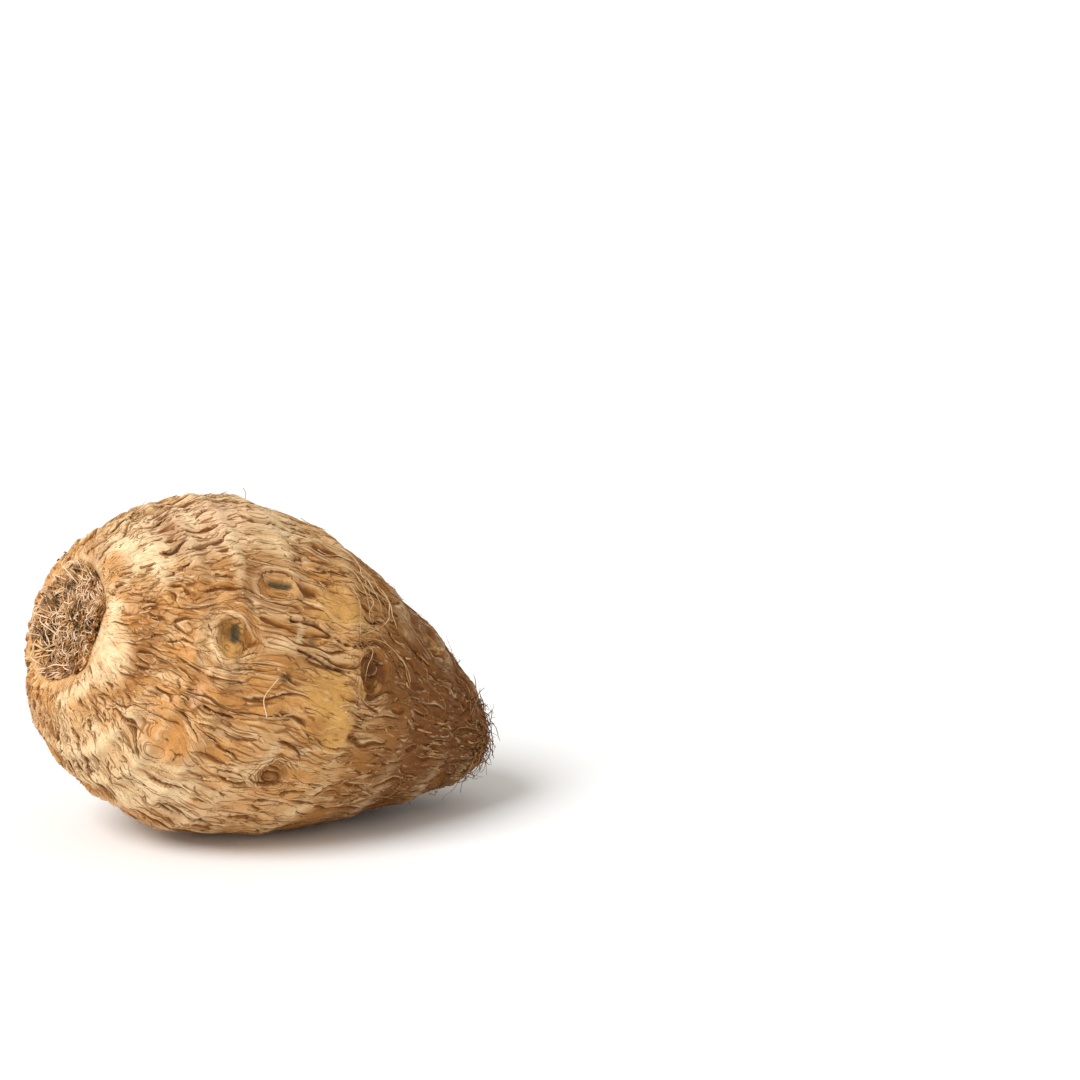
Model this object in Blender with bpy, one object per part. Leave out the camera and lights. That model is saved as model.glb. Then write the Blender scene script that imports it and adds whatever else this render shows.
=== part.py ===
"""A whole taro corm, lying on its belly, at its real size.

The corm's length runs along X: the crown, where the leaf stalks grew, is at -X,
and the narrow base is at +X. Z is up, and the small flat spot that the corm
rests on lies at Z = 0. The corm grew as one piece, so it is one object.

A point of the surface is named by two angles. Its station is 0 at the middle of
the crown's scar and 180 degrees at the base, and its side is the way round: 0 on
top, 90 degrees towards -Y, 180 underneath.
"""

import math
import random
from collections import namedtuple

import bmesh
import bpy
from mathutils import Matrix, Vector, noise

MM = 0.001

# The corm's form: an oval whose crown end is blunt and whose base end tapers.
CROWN_LENGTH = 36.8 * MM
BASE_LENGTH = 68.0 * MM
HALF_WIDTH = 37.5 * MM
HALF_HEIGHT = 35.5 * MM
CROWN_FULLNESS = 1.7
CROWN_SHOULDER = 2.4
BASE_FULLNESS = 1.75
BASE_TAPER = 0.36
BASE_DROOP = 7.5 * MM
CROWN_PRESS = 3.0 * MM
CROWN_PRESS_DEG = 34.0
CROWN_TILT_DEG = 9.0
CROWN_TURN_DEG = 14.0
LEAST_GIRTH = 4.0 * MM

# How it lies: the crown end up a little, on a flat spot cut from the belly, where the
# surface is smoother than elsewhere.
REST_PITCH_DEG = 14.0
REST_SPOT_DEPTH = 0.6 * MM
BELLY_CALM = 0.12
BELLY_FADE = 2.6 * MM

# The mesh: places around, and stations from crown to base, a little closer in the long base half.
PLACES_AROUND = 82
STATIONS = 45
STATION_SHIFT = 0.085
BUD_REFINE = 1.6

# The crown's scar: a sunken disc inside a rounded collar.
DISC_DEG = 17.0
DISC_DEPTH = 2.6 * MM
DISC_WALL_DEG = 3.0
COLLAR_DEG = 25.0
COLLAR_HEIGHT = 1.1 * MM
COLLAR_WIDTH_DEG = 6.5

# Leaf scars: each is a ring with a raised lip and a shallow valley beyond it.
SCAR_STATIONS_DEG = (43.0, 57.0, 70.5, 86.0, 103.0, 120.0, 136.0, 151.0)
SCAR_HEIGHT = 0.5 * MM
SCAR_WIDTH_DEG = 2.6
SCAR_VALLEY_SHARE = 0.6
SCAR_VALLEY_DEG = 4.5
SCAR_VALLEY_WIDTH_DEG = 3.4
SCAR_WANDER_DEG = 3.0
WANDER_ROUND = 1.3
WANDER_ALONG_DEG = 31.0

# Unevenness of the whole body, and furrows that run from crown to base.
LUMP_HEIGHT = 1.0 * MM
LUMP_SIZE = 26.0 * MM
FURROW_DEPTH = 0.75 * MM
FURROW_SPACING = 7.0 * MM
FURROW_STRETCH = 4.5
FURROW_DRUM = 30.0 * MM
FURROW_SHARE = 0.22
FURROW_FADE_DEG = 8.0

# Buds: where each is, half its width around, half its length along and how boldly it stands
# out. Each is a lip round a shallow pit with a nub in it, placed by shares of the half sizes.
Bud = namedtuple("Bud", "station side half_around half_along boldness")
BUDS = (
    Bud(69.5, 70.5, 3.8 * MM, 3.2 * MM, 1.0),
    Bud(84.5, 49.0, 2.4 * MM, 3.0 * MM, 0.6),
    Bud(108.5, 71.0, 4.4 * MM, 3.4 * MM, 1.0),
    Bud(93.5, 115.0, 2.6 * MM, 2.8 * MM, 0.7),
    Bud(58.5, 120.0, 4.6 * MM, 4.4 * MM, 0.35),
    Bud(56.0, 352.0, 2.6 * MM, 2.2 * MM, 0.7),
    Bud(72.0, 226.0, 3.2 * MM, 3.8 * MM, 1.0),
    Bud(88.0, 291.0, 3.6 * MM, 3.2 * MM, 0.9),
    Bud(62.0, 276.0, 2.8 * MM, 3.0 * MM, 0.6),
    Bud(105.0, 335.0, 3.4 * MM, 2.8 * MM, 0.8),
    Bud(122.0, 258.0, 3.0 * MM, 2.6 * MM, 0.8),
    Bud(131.0, 30.0, 2.8 * MM, 2.4 * MM, 0.7),
    Bud(141.0, 128.0, 2.4 * MM, 2.4 * MM, 0.7),
)
BUD_REACH = 3.0
BUD_LIP = 0.8 * MM
BUD_LIP_PLACE = 1.1
BUD_LIP_WIDTH = 0.42
BUD_PIT = 0.9 * MM
BUD_FLOOR = 0.35
BUD_BRIM = 0.95
BUD_NUB = 0.9 * MM
BUD_NUB_WIDTH = 0.32

# The base's scar: a shallow rough dish where the corm parted from the mother plant.
BASE_SCAR_DEG = 168.0
BASE_SCAR_DEPTH = 1.4 * MM
BASE_SCAR_WALL_DEG = 4.0

# Wiry root fibres, as a few stout strands. The pairs are the least and the most of a range.
SEED = 11
STRAND_RADIUS = 0.42 * MM
STRAND_TIP = 0.65
STRAND_POINTS = 6
STRAND_ROOT_DEPTH = 1.6 * MM
STRAND_CLEARANCE = 0.5 * MM
EVEN_TURN_DEG = 137.5

# Strands in the crown's disc, which rise and bend over.
CROWN_STRANDS = 20
CROWN_STRAND_STATION_DEG = (3.0, 13.5)
CROWN_STRAND_TURN_DEG = (25.0, 60.0)
CROWN_STRAND_TOP = (1.6 * MM, 2.9 * MM)
CROWN_STRAND_DRIFT_DEG = 3.0
CROWN_STRAND_ARCH_DEG = 112.0

# Strands that spread from the base.
BASE_STRANDS = 16
BASE_STRAND_STATION_DEG = (152.0, 169.0)
BASE_STRAND_REACH = (4.0 * MM, 7.5 * MM)
BASE_STRAND_TURN_DEG = (-30.0, 30.0)
BASE_STRAND_DRIFT_DEG = 14.0

# Strands that lie along the skin, all round except on the belly.
SIDE_STRANDS = 12
SIDE_STRAND_SCARS_DEG = SCAR_STATIONS_DEG[1:6]
SIDE_STRAND_LENGTH = (16.0 * MM, 30.0 * MM)
SIDE_STRAND_HEIGHT = (0.05 * MM, 0.3 * MM)
SIDE_STRAND_SLANT_DEG = (-9.0, 9.0)
SIDE_STRAND_WAVE_DEG = 126.0
SIDE_STRAND_RISE = 0.3
SIDES_CLEAR_OF_BELLY_DEG = 132.0
MIDDLE_RADIUS = 51.0 * MM
WELD = 0.01 * MM

SKIN_COLOUR = (0.46, 0.29, 0.14, 1.0)
SKIN_ROUGHNESS = 0.85


def smoothstep(low, high, value):
    """0 below low, 1 above high, and smooth between them."""
    share = min(1.0, max(0.0, (value - low) / (high - low)))
    return share * share * (3.0 - 2.0 * share)


def bump(distance, width):
    """A bell of height 1 at no distance, gone by about two widths."""
    return math.exp(-((distance / width) ** 2))


def crown_pole():
    """The way that the middle of the crown's scar faces."""
    tilt = math.radians(CROWN_TILT_DEG)
    turn = math.radians(CROWN_TURN_DEG)
    return Vector((-math.cos(tilt) * math.cos(turn), -math.cos(tilt) * math.sin(turn), math.sin(tilt)))


def form(station, side):
    """The plain form's point at these two angles, in degrees, before the corm is laid down."""
    theta = math.radians(station)
    phi = math.radians(side)
    way = Vector((-math.cos(theta), -math.sin(theta) * math.sin(phi), math.sin(theta) * math.cos(phi)))
    fade = (1.0 + math.cos(theta)) / 2.0
    way = Matrix.Rotation(math.radians(CROWN_TILT_DEG) * fade, 3, "Y") @ way
    way = Matrix.Rotation(math.radians(CROWN_TURN_DEG) * fade, 3, "Z") @ way
    along = -max(-1.0, min(1.0, way.x))
    share = abs(along)
    if along > 0.0:
        reach = -CROWN_LENGTH * along
        girth = (1.0 - share**CROWN_FULLNESS) ** (1.0 / CROWN_SHOULDER)
    else:
        reach = -BASE_LENGTH * along
        girth = math.sqrt(1.0 - share**BASE_FULLNESS) * (1.0 - BASE_TAPER * share * share)
    around = math.hypot(way.y, way.z) or 1.0
    droop = BASE_DROOP * max(0.0, reach / BASE_LENGTH) ** 2
    point = Vector(
        (reach, way.y / around * girth * HALF_WIDTH, way.z / around * girth * HALF_HEIGHT - droop)
    )
    return point - crown_pole() * CROWN_PRESS * bump(station, CROWN_PRESS_DEG)


def facing(station, side):
    """The plain form's outward direction at these two angles."""
    step = 0.5
    station = min(max(station, 2.0 * step), 180.0 - 2.0 * step)
    along = form(station + step, side) - form(station - step, side)
    around = form(station, side + step) - form(station, side - step)
    return along.cross(around).normalized() * -1.0


def arc_lengths():
    """Length along the top of the form from the crown to each whole degree of station."""
    lengths = [0.0]
    for degree in range(1, 181):
        lengths.append(lengths[-1] + (form(degree, 0.0) - form(degree - 1, 0.0)).length)
    return lengths


def girth_radii():
    """The form's radius at each whole degree of station."""
    across = [(form(degree, 0.0) - form(degree, 180.0)).length for degree in range(181)]
    return [max(LEAST_GIRTH, width / 2.0) for width in across]


ARCS = arc_lengths()
GIRTHS = girth_radii()


def read_table(table, station):
    """A value between the whole degrees of a table."""
    whole = min(179, int(station))
    return table[whole] + (table[whole + 1] - table[whole]) * (station - whole)


def arc(station):
    """Length from the crown's middle to this station, in metres."""
    return read_table(ARCS, station)


def girth_radius(station):
    """The form's radius there, for turning an angle round the corm into a length."""
    return read_table(GIRTHS, station)


def from_bud(station, side, bud):
    """Where a point lies seen from a bud: (around, along), as shares of the bud's half sizes."""
    turn = (side - bud.side + 180.0) % 360.0 - 180.0
    around = math.radians(turn) * girth_radius(station)
    return around / bud.half_around, (arc(station) - arc(bud.station)) / bud.half_along


def grain(station, side):
    """A point on a drum whose length is squeezed, so that noise read there runs along the corm
    and parts round each bud as wood grain parts round a knot."""
    turn = math.radians(side)
    for bud in BUDS:
        around, along = from_bud(station, side, bud)
        distance = max(1.0, around * around + along * along)
        turn -= around * bud.half_around / girth_radius(station) / distance
    return Vector(
        (FURROW_DRUM * math.cos(turn), FURROW_DRUM * math.sin(turn), arc(station) / FURROW_STRETCH)
    )


def furrows(station, side):
    """Long furrows between flat ridges, faded where the two scars are."""
    place = grain(station, side) / FURROW_SPACING
    line = abs(noise.noise(place))
    depth = FURROW_DEPTH * (1.0 - smoothstep(0.0, FURROW_SHARE, line))
    depth *= smoothstep(COLLAR_DEG, COLLAR_DEG + FURROW_FADE_DEG, station)
    return -depth * (1.0 - smoothstep(BASE_SCAR_DEG - FURROW_FADE_DEG, BASE_SCAR_DEG, station))


def scar_rings(station, side):
    """Raised rings that wander a little as they go round."""
    turn = math.radians(side)
    place = Vector(
        (WANDER_ROUND * math.cos(turn), WANDER_ROUND * math.sin(turn), station / WANDER_ALONG_DEG)
    )
    wander = SCAR_WANDER_DEG * noise.noise(place)
    height = 0.0
    for ring in SCAR_STATIONS_DEG:
        beyond = station + wander - ring
        height += bump(beyond, SCAR_WIDTH_DEG)
        height -= SCAR_VALLEY_SHARE * bump(beyond - SCAR_VALLEY_DEG, SCAR_VALLEY_WIDTH_DEG)
    return SCAR_HEIGHT * height


def buds(station, side):
    """The height of the buds' lips, pits and nubs."""
    height = 0.0
    for bud in BUDS:
        distance = math.hypot(*from_bud(station, side, bud))
        if distance < BUD_REACH:
            shape = BUD_LIP * bump(distance - BUD_LIP_PLACE, BUD_LIP_WIDTH)
            shape -= BUD_PIT * (1.0 - smoothstep(BUD_FLOOR, BUD_BRIM, distance))
            shape += BUD_NUB * bump(distance, BUD_NUB_WIDTH)
            height += bud.boldness * shape
    return height


def crown_scar(station):
    """The sunken disc and the collar round it."""
    disc = 1.0 - smoothstep(DISC_DEG - DISC_WALL_DEG, DISC_DEG + DISC_WALL_DEG, station)
    return COLLAR_HEIGHT * bump(station - COLLAR_DEG, COLLAR_WIDTH_DEG) - DISC_DEPTH * disc


def base_scar(station):
    """The shallow dish at the base."""
    wall = smoothstep(BASE_SCAR_DEG - BASE_SCAR_WALL_DEG, BASE_SCAR_DEG + BASE_SCAR_WALL_DEG, station)
    return -BASE_SCAR_DEPTH * wall


def lying_down():
    """Turns the form from its own frame to the way it lies."""
    return Matrix.Rotation(math.radians(REST_PITCH_DEG), 3, "Y")


FORM_FLOOR = min((lying_down() @ form(degree, 180.0)).z for degree in range(1, 180))


def relief(station, side, point):
    """How far the surface stands out from the plain form, in metres."""
    height = (lying_down() @ point).z - FORM_FLOOR
    strength = BELLY_CALM + (1.0 - BELLY_CALM) * smoothstep(0.0, BELLY_FADE, height)
    lumps = LUMP_HEIGHT * noise.noise(point / LUMP_SIZE)
    rough = lumps + furrows(station, side) + scar_rings(station, side) + buds(station, side)
    return strength * rough + crown_scar(station) + base_scar(station)


def skin_point(station, side, lift):
    """A point this far above the corm's surface."""
    plain = form(station, side)
    return plain + facing(station, side) * (relief(station, side, plain) + lift)


def shifted(station):
    """Moves evenly spaced stations towards the long base half, which has more surface."""
    share = station / 180.0
    return 180.0 * (share + STATION_SHIFT * math.sin(math.pi * share) ** 2)


def angles_of(way):
    """(station, side) in degrees of a point of the unit sphere."""
    station = math.degrees(math.acos(max(-1.0, min(1.0, way.z))))
    side = math.degrees(math.atan2(way.y, way.x))
    return shifted(station), side


def refine_near_buds(mesh):
    """Splits the sphere's faces near each bud, so that a bud has faces of its own."""
    near = set()
    for face in mesh.faces:
        station, side = angles_of(face.calc_center_median().normalized())
        if min(math.hypot(*from_bud(station, side, bud)) for bud in BUDS) < BUD_REFINE:
            near.update(face.edges)
    bmesh.ops.subdivide_edges(mesh, edges=list(near), cuts=1, use_grid_fill=True)
    for vertex in mesh.verts:
        vertex.co.normalize()


def cut_rest_spot(mesh):
    """Cuts a small flat spot from the belly, puts it at Z = 0 and tells how high it was."""
    level = min(vertex.co.z for vertex in mesh.verts) + REST_SPOT_DEPTH
    geometry = mesh.verts[:] + mesh.edges[:] + mesh.faces[:]
    cut = bmesh.ops.bisect_plane(
        mesh,
        geom=geometry,
        dist=WELD,
        plane_co=(0.0, 0.0, level),
        plane_no=(0.0, 0.0, -1.0),
        clear_outer=True,
    )
    rim = [item for item in cut["geom_cut"] if isinstance(item, bmesh.types.BMEdge)]
    bmesh.ops.edgeloop_fill(mesh, edges=rim)
    bmesh.ops.translate(mesh, verts=mesh.verts, vec=(0.0, 0.0, -level))
    return level


def corm_mesh():
    """The corm's body, a sphere whose points are moved to the skin, and how high its flat spot was."""
    mesh = bmesh.new()
    bmesh.ops.create_uvsphere(mesh, u_segments=PLACES_AROUND, v_segments=STATIONS, radius=1.0)
    refine_near_buds(mesh)
    angles = {vertex: angles_of(vertex.co) for vertex in mesh.verts}
    for vertex, (station, side) in angles.items():
        vertex.co = skin_point(station, side, 0.0)
    bmesh.ops.rotate(mesh, verts=mesh.verts, matrix=lying_down())
    level = cut_rest_spot(mesh)
    bmesh.ops.recalc_face_normals(mesh, faces=mesh.faces)
    return mesh, level


def strand_point(station, side, lift, floor):
    """A strand's point, in the frame that the corm lies in, kept above what it lies on."""
    point = lying_down() @ skin_point(station, side, lift) - Vector((0.0, 0.0, floor))
    point.z = max(point.z, STRAND_RADIUS + STRAND_CLEARANCE)
    return point


def crown_strand(dice, number):
    """Rises from the disc and bends over inside the collar."""
    station = dice.uniform(*CROWN_STRAND_STATION_DEG)
    side = number * EVEN_TURN_DEG
    turn = dice.choice((-1.0, 1.0)) * dice.uniform(*CROWN_STRAND_TURN_DEG)
    rise = dice.uniform(*CROWN_STRAND_TOP) + STRAND_ROOT_DEPTH
    path = []
    for step in range(STRAND_POINTS):
        share = step / (STRAND_POINTS - 1)
        lift = rise * math.sin(math.radians(CROWN_STRAND_ARCH_DEG) * share) - STRAND_ROOT_DEPTH
        path.append((station + CROWN_STRAND_DRIFT_DEG * share, side + turn * share, lift))
    return path


def base_strand(dice, number):
    """Grows from round the base's scar and curls away."""
    station = dice.uniform(*BASE_STRAND_STATION_DEG)
    side = number * EVEN_TURN_DEG
    rise = dice.uniform(*BASE_STRAND_REACH) + STRAND_ROOT_DEPTH
    turn = dice.uniform(*BASE_STRAND_TURN_DEG)
    path = []
    for step in range(STRAND_POINTS):
        share = step / (STRAND_POINTS - 1)
        bend = share * share
        lift = rise * share - STRAND_ROOT_DEPTH
        path.append((station - BASE_STRAND_DRIFT_DEG * bend, side + turn * bend, lift))
    return path


def side_strand(dice, number):
    """Leaves a leaf scar and lies along the skin, half sunk in it."""
    spread = (number + 0.5) / SIDE_STRANDS
    side = SIDES_CLEAR_OF_BELLY_DEG * (2.0 * spread - 1.0)
    station = dice.choice(SIDE_STRAND_SCARS_DEG)
    length = dice.uniform(*SIDE_STRAND_LENGTH)
    slant = dice.uniform(*SIDE_STRAND_SLANT_DEG)
    rise = dice.uniform(*SIDE_STRAND_HEIGHT) + STRAND_ROOT_DEPTH
    path = []
    for step in range(STRAND_POINTS):
        share = step / (STRAND_POINTS - 1)
        lift = rise * smoothstep(0.0, SIDE_STRAND_RISE, share) - STRAND_ROOT_DEPTH
        forward = math.degrees(length * share / MIDDLE_RADIUS)
        wave = slant * math.sin(math.radians(SIDE_STRAND_WAVE_DEG) * share)
        path.append((station + forward, side + wave, lift))
    return path


def strand_object(name, path, floor, collection):
    """A tapered wire along the path, as a closed mesh."""
    curve = bpy.data.curves.new(name, "CURVE")
    curve.dimensions = "3D"
    curve.bevel_depth = STRAND_RADIUS
    curve.bevel_resolution = 0
    curve.use_fill_caps = True
    spline = curve.splines.new("POLY")
    spline.points.add(len(path) - 1)
    for index, (station, side, lift) in enumerate(path):
        point = strand_point(station, side, lift, floor)
        spline.points[index].co = (*point, 1.0)
        spline.points[index].radius = 1.0 - (1.0 - STRAND_TIP) * index / (len(path) - 1)
    wire = bpy.data.objects.new(name + "_wire", curve)
    collection.objects.link(wire)
    evaluated = wire.evaluated_get(bpy.context.evaluated_depsgraph_get())
    shape = bpy.data.meshes.new_from_object(evaluated)
    strand = bpy.data.objects.new(name, shape)
    strand.matrix_world = wire.matrix_world
    collection.objects.link(strand)
    bpy.data.objects.remove(wire)
    ends = bmesh.new()
    ends.from_mesh(shape)
    bmesh.ops.remove_doubles(ends, verts=ends.verts, dist=WELD)
    bmesh.ops.recalc_face_normals(ends, faces=ends.faces)
    ends.to_mesh(shape)
    ends.free()
    return strand


def add_strands(corm, floor):
    """Joins the root fibres to the corm with one Boolean union."""
    fibres = bpy.data.collections.new("root_fibres")
    bpy.context.scene.collection.children.link(fibres)
    dice = random.Random(SEED)
    paths = [crown_strand(dice, number) for number in range(CROWN_STRANDS)]
    paths += [base_strand(dice, number) for number in range(BASE_STRANDS)]
    paths += [side_strand(dice, number) for number in range(SIDE_STRANDS)]
    for index, path in enumerate(paths):
        strand_object(f"strand_{index:02d}", path, floor, fibres)
    union = corm.modifiers.new("fibres", "BOOLEAN")
    union.operation = "UNION"
    union.operand_type = "COLLECTION"
    union.collection = fibres
    union.solver = "MANIFOLD"
    evaluated = corm.evaluated_get(bpy.context.evaluated_depsgraph_get())
    joined = bpy.data.meshes.new_from_object(evaluated)
    corm.modifiers.remove(union)
    corm.data = joined
    for strand in list(fibres.objects):
        bpy.data.objects.remove(strand)
    bpy.data.collections.remove(fibres)


def skin_material():
    """Dry brown bark-like skin."""
    material = bpy.data.materials.new("corm_skin")
    material.use_nodes = True
    shader = material.node_tree.nodes["Principled BSDF"]
    shader.inputs["Base Color"].default_value = SKIN_COLOUR
    shader.inputs["Roughness"].default_value = SKIN_ROUGHNESS
    shader.inputs["Metallic"].default_value = 0.0
    return material


def centre_over_origin(corm):
    """Puts the middle of the corm's length and width over the origin."""
    low_x = min(vertex.co.x for vertex in corm.data.vertices)
    high_x = max(vertex.co.x for vertex in corm.data.vertices)
    low_y = min(vertex.co.y for vertex in corm.data.vertices)
    high_y = max(vertex.co.y for vertex in corm.data.vertices)
    corm.data.transform(Matrix.Translation((-(low_x + high_x) / 2.0, -(low_y + high_y) / 2.0, 0.0)))


def main():
    for thing in list(bpy.data.objects):
        bpy.data.objects.remove(thing)
    corm_parts = bpy.data.collections.new("taro_root")
    bpy.context.scene.collection.children.link(corm_parts)
    body, floor = corm_mesh()
    data = bpy.data.meshes.new("taro_root")
    body.to_mesh(data)
    body.free()
    corm = bpy.data.objects.new("taro_root", data)
    corm_parts.objects.link(corm)
    add_strands(corm, floor)
    centre_over_origin(corm)
    corm.data.materials.clear()
    corm.data.materials.append(skin_material())
    corm.data.shade_smooth()


main()
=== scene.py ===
"""The looks of a whole taro corm: bark-like skin, leaf scars, buds, a fibrous crown and root fibres.

A point of the skin is named by two angles in degrees. Its station is 0 at the middle of the
crown's scar and 180 at the base, and its side is the way round: 0 on top, 90 towards -Y and 180
underneath. The form is first made in its own frame, with its length along X, and then laid down.
"""

import math
from collections import namedtuple

import bpy
import numpy as np
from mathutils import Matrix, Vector, noise


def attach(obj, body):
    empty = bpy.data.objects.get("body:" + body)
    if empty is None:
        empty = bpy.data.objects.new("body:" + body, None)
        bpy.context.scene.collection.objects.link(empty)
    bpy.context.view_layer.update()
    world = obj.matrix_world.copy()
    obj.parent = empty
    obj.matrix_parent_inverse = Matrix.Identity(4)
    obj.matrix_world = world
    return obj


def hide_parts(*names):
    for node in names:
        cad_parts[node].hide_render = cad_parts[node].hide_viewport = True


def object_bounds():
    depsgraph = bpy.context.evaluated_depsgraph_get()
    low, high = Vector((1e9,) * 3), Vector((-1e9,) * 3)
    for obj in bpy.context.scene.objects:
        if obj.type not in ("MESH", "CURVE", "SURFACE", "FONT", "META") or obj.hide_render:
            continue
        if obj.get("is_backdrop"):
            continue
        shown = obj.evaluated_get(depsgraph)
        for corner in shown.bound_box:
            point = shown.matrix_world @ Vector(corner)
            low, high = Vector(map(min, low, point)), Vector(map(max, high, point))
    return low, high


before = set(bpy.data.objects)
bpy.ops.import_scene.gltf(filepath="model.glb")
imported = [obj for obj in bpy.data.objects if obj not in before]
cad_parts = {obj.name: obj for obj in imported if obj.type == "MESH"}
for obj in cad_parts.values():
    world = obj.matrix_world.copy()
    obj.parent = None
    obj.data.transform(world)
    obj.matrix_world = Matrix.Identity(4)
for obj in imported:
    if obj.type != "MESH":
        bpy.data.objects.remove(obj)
CAD_LOW, CAD_HIGH = (np.array(corner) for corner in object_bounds())

MM = 0.001

# The form, as in the solid.
CROWN_LENGTH = 36.8 * MM
BASE_LENGTH = 68.0 * MM
HALF_WIDTH = 37.5 * MM
HALF_HEIGHT = 35.5 * MM
CROWN_FULLNESS = 1.7
CROWN_SHOULDER = 2.4
BASE_FULLNESS = 1.75
BASE_TAPER = 0.36
BASE_DROOP = 7.5 * MM
CROWN_PRESS = 3.0 * MM
CROWN_PRESS_DEG = 34.0
CROWN_TILT_DEG = 9.0
CROWN_TURN_DEG = 14.0
LEAST_GIRTH = 4.0 * MM
REST_PITCH_DEG = 14.0
REST_SPOT_DEPTH = 0.6 * MM
BELLY_CALM = 0.12
BELLY_FADE = 2.6 * MM

# The skin's mesh.
PLACES_AROUND = 520
ROWS = 190
END_STATIONS = (0.01, 179.99)

# The crown's scar and its collar, as in the solid.
DISC_DEG = 17.0
DISC_DEPTH = 2.6 * MM
DISC_WALL_DEG = 3.0
COLLAR_DEG = 25.0
COLLAR_HEIGHT = 1.1 * MM
COLLAR_WIDTH_DEG = 6.5

# Leaf scars, as in the solid.
SCAR_STATIONS_DEG = (43.0, 57.0, 70.5, 86.0, 103.0, 120.0, 136.0, 151.0)
SCAR_HEIGHT = 0.5 * MM
SCAR_WIDTH_DEG = 2.6
SCAR_VALLEY_SHARE = 0.6
SCAR_VALLEY_DEG = 4.5
SCAR_VALLEY_WIDTH_DEG = 3.4
SCAR_WANDER_DEG = 3.0
WANDER_ROUND = 1.3
WANDER_ALONG_DEG = 31.0
SEED_STEP = 7.31

# Lumps and coarse furrows, as in the solid.
LUMP_HEIGHT = 1.0 * MM
LUMP_SIZE = 26.0 * MM
FURROW_DEPTH = 0.75 * MM
FURROW_SPACING = 7.0 * MM
FURROW_STRETCH = 4.5
FURROW_DRUM = 30.0 * MM
FURROW_SHARE = 0.22
FURROW_FADE_DEG = 8.0

# Colours, linear.
TAN = (0.60, 0.29, 0.092)
CREAM = (0.86, 0.66, 0.40)
BROWN = (0.27, 0.10, 0.022)
GOLD = (0.64, 0.35, 0.10)
AMBER = (0.27, 0.125, 0.026)
ORANGE = (0.58, 0.25, 0.060)
PINK = (0.70, 0.43, 0.27)
RUST = (0.15, 0.047, 0.020)
UMBER = (0.115, 0.038, 0.009)
NIGHT = (0.035, 0.016, 0.006)
OLIVE = (0.062, 0.062, 0.036)

# Buds, with half sizes in millimetres. The first five values are as in the solid: where each is,
# half its width around, half its length along and how boldly it stands out. The rest are the colour
# inside, how pale the rim is, how wrinkled the skin is round it, and half its slit around and along.
Bud = namedtuple(
    "Bud",
    "station side half_around half_along boldness floor rim wrinkled slit_around slit_along",
)
BUDS = (
    Bud(69.5, 70.5, 3.8, 3.2, 1.0, AMBER, 0.7, 0.5, 2.3, 1.25),
    Bud(84.5, 49.0, 2.4, 3.0, 0.6, TAN, 0.4, 0.1, 0.75, 2.2),
    Bud(108.5, 71.0, 4.4, 3.4, 1.0, RUST, 0.1, 1.0, 1.1, 0.5),
    Bud(93.5, 115.0, 2.6, 2.8, 0.7, BROWN, 0.1, 1.0, 0.4, 1.0),
    Bud(58.5, 120.0, 4.6, 4.4, 0.35, ORANGE, 0.1, 0.1, 0.3, 0.5),
    Bud(56.0, 352.0, 2.6, 2.2, 0.7, BROWN, 0.3, 0.7, 1.1, 0.5),
    Bud(72.0, 226.0, 3.2, 3.8, 1.0, AMBER, 0.5, 0.6, 0.8, 1.9),
    Bud(88.0, 291.0, 3.6, 3.2, 0.9, RUST, 0.2, 1.0, 1.8, 0.7),
    Bud(62.0, 276.0, 2.8, 3.0, 0.6, AMBER, 0.4, 0.6, 1.2, 0.6),
    Bud(105.0, 335.0, 3.4, 2.8, 0.8, BROWN, 0.3, 0.8, 1.6, 0.7),
    Bud(122.0, 258.0, 3.0, 2.6, 0.8, RUST, 0.2, 0.9, 1.2, 0.6),
    Bud(131.0, 30.0, 2.8, 2.4, 0.7, BROWN, 0.3, 0.7, 1.2, 0.5),
    Bud(141.0, 128.0, 2.4, 2.4, 0.7, BROWN, 0.2, 0.7, 0.9, 0.5),
)
BUD_REACH = 3.0
BUD_LIP = 0.8 * MM
BUD_LIP_PLACE = 1.1
BUD_LIP_WIDTH = 0.42
BUD_PIT = 0.9 * MM
BUD_FLOOR = 0.35
BUD_BRIM = 0.95
BUD_NUB = 0.9 * MM
BUD_NUB_WIDTH = 0.32

# The buds' fine marks, which only the skin has. Places, widths and edges are shares of the bud's
# half sizes, or of the slit's for the slit's edge and its lid. An edge is (from, to) and a rim is
# (place, width, strength).
BUD_CLEAR = 1.7
BUD_WOBBLE = 0.25
KNOT_FAR = 3.0
WRINKLE_SPACING = 0.27
WRINKLES_START = (0.2, 0.7)
WRINKLES_END = (1.5, 2.6)
INSIDE_EDGE = (1.1, 1.3)
INSIDE_BOLDNESS = (0.3, 0.9)
INSIDE_STREAKS = 0.75
RIMS = ((1.6, 0.3, 1.0), (2.25, 0.14, 0.6))
BARE_RIM_PLACE = 1.6
BARE_RIM_WIDTH = 0.35
SLIT_SHIFT_AROUND = 0.35
SLIT_SHIFT_ALONG = 0.12
SLIT_EDGE = (0.8, 1.1)
SLIT_WOBBLE = 0.1
LID_RISE = 0.6
LID_PLACE = 1.15
LID_WIDTH = 0.2
LID_START = -0.3
SLIT_DEPTH = 0.5 * MM
PIT_MORE = 1.2 * MM
LIP_LESS = 0.5 * MM
NUB_LESS = 0.7 * MM

# The base's scar, as in the solid.
BASE_SCAR_DEG = 168.0
BASE_SCAR_DEPTH = 1.4 * MM
BASE_SCAR_WALL_DEG = 4.0

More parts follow.
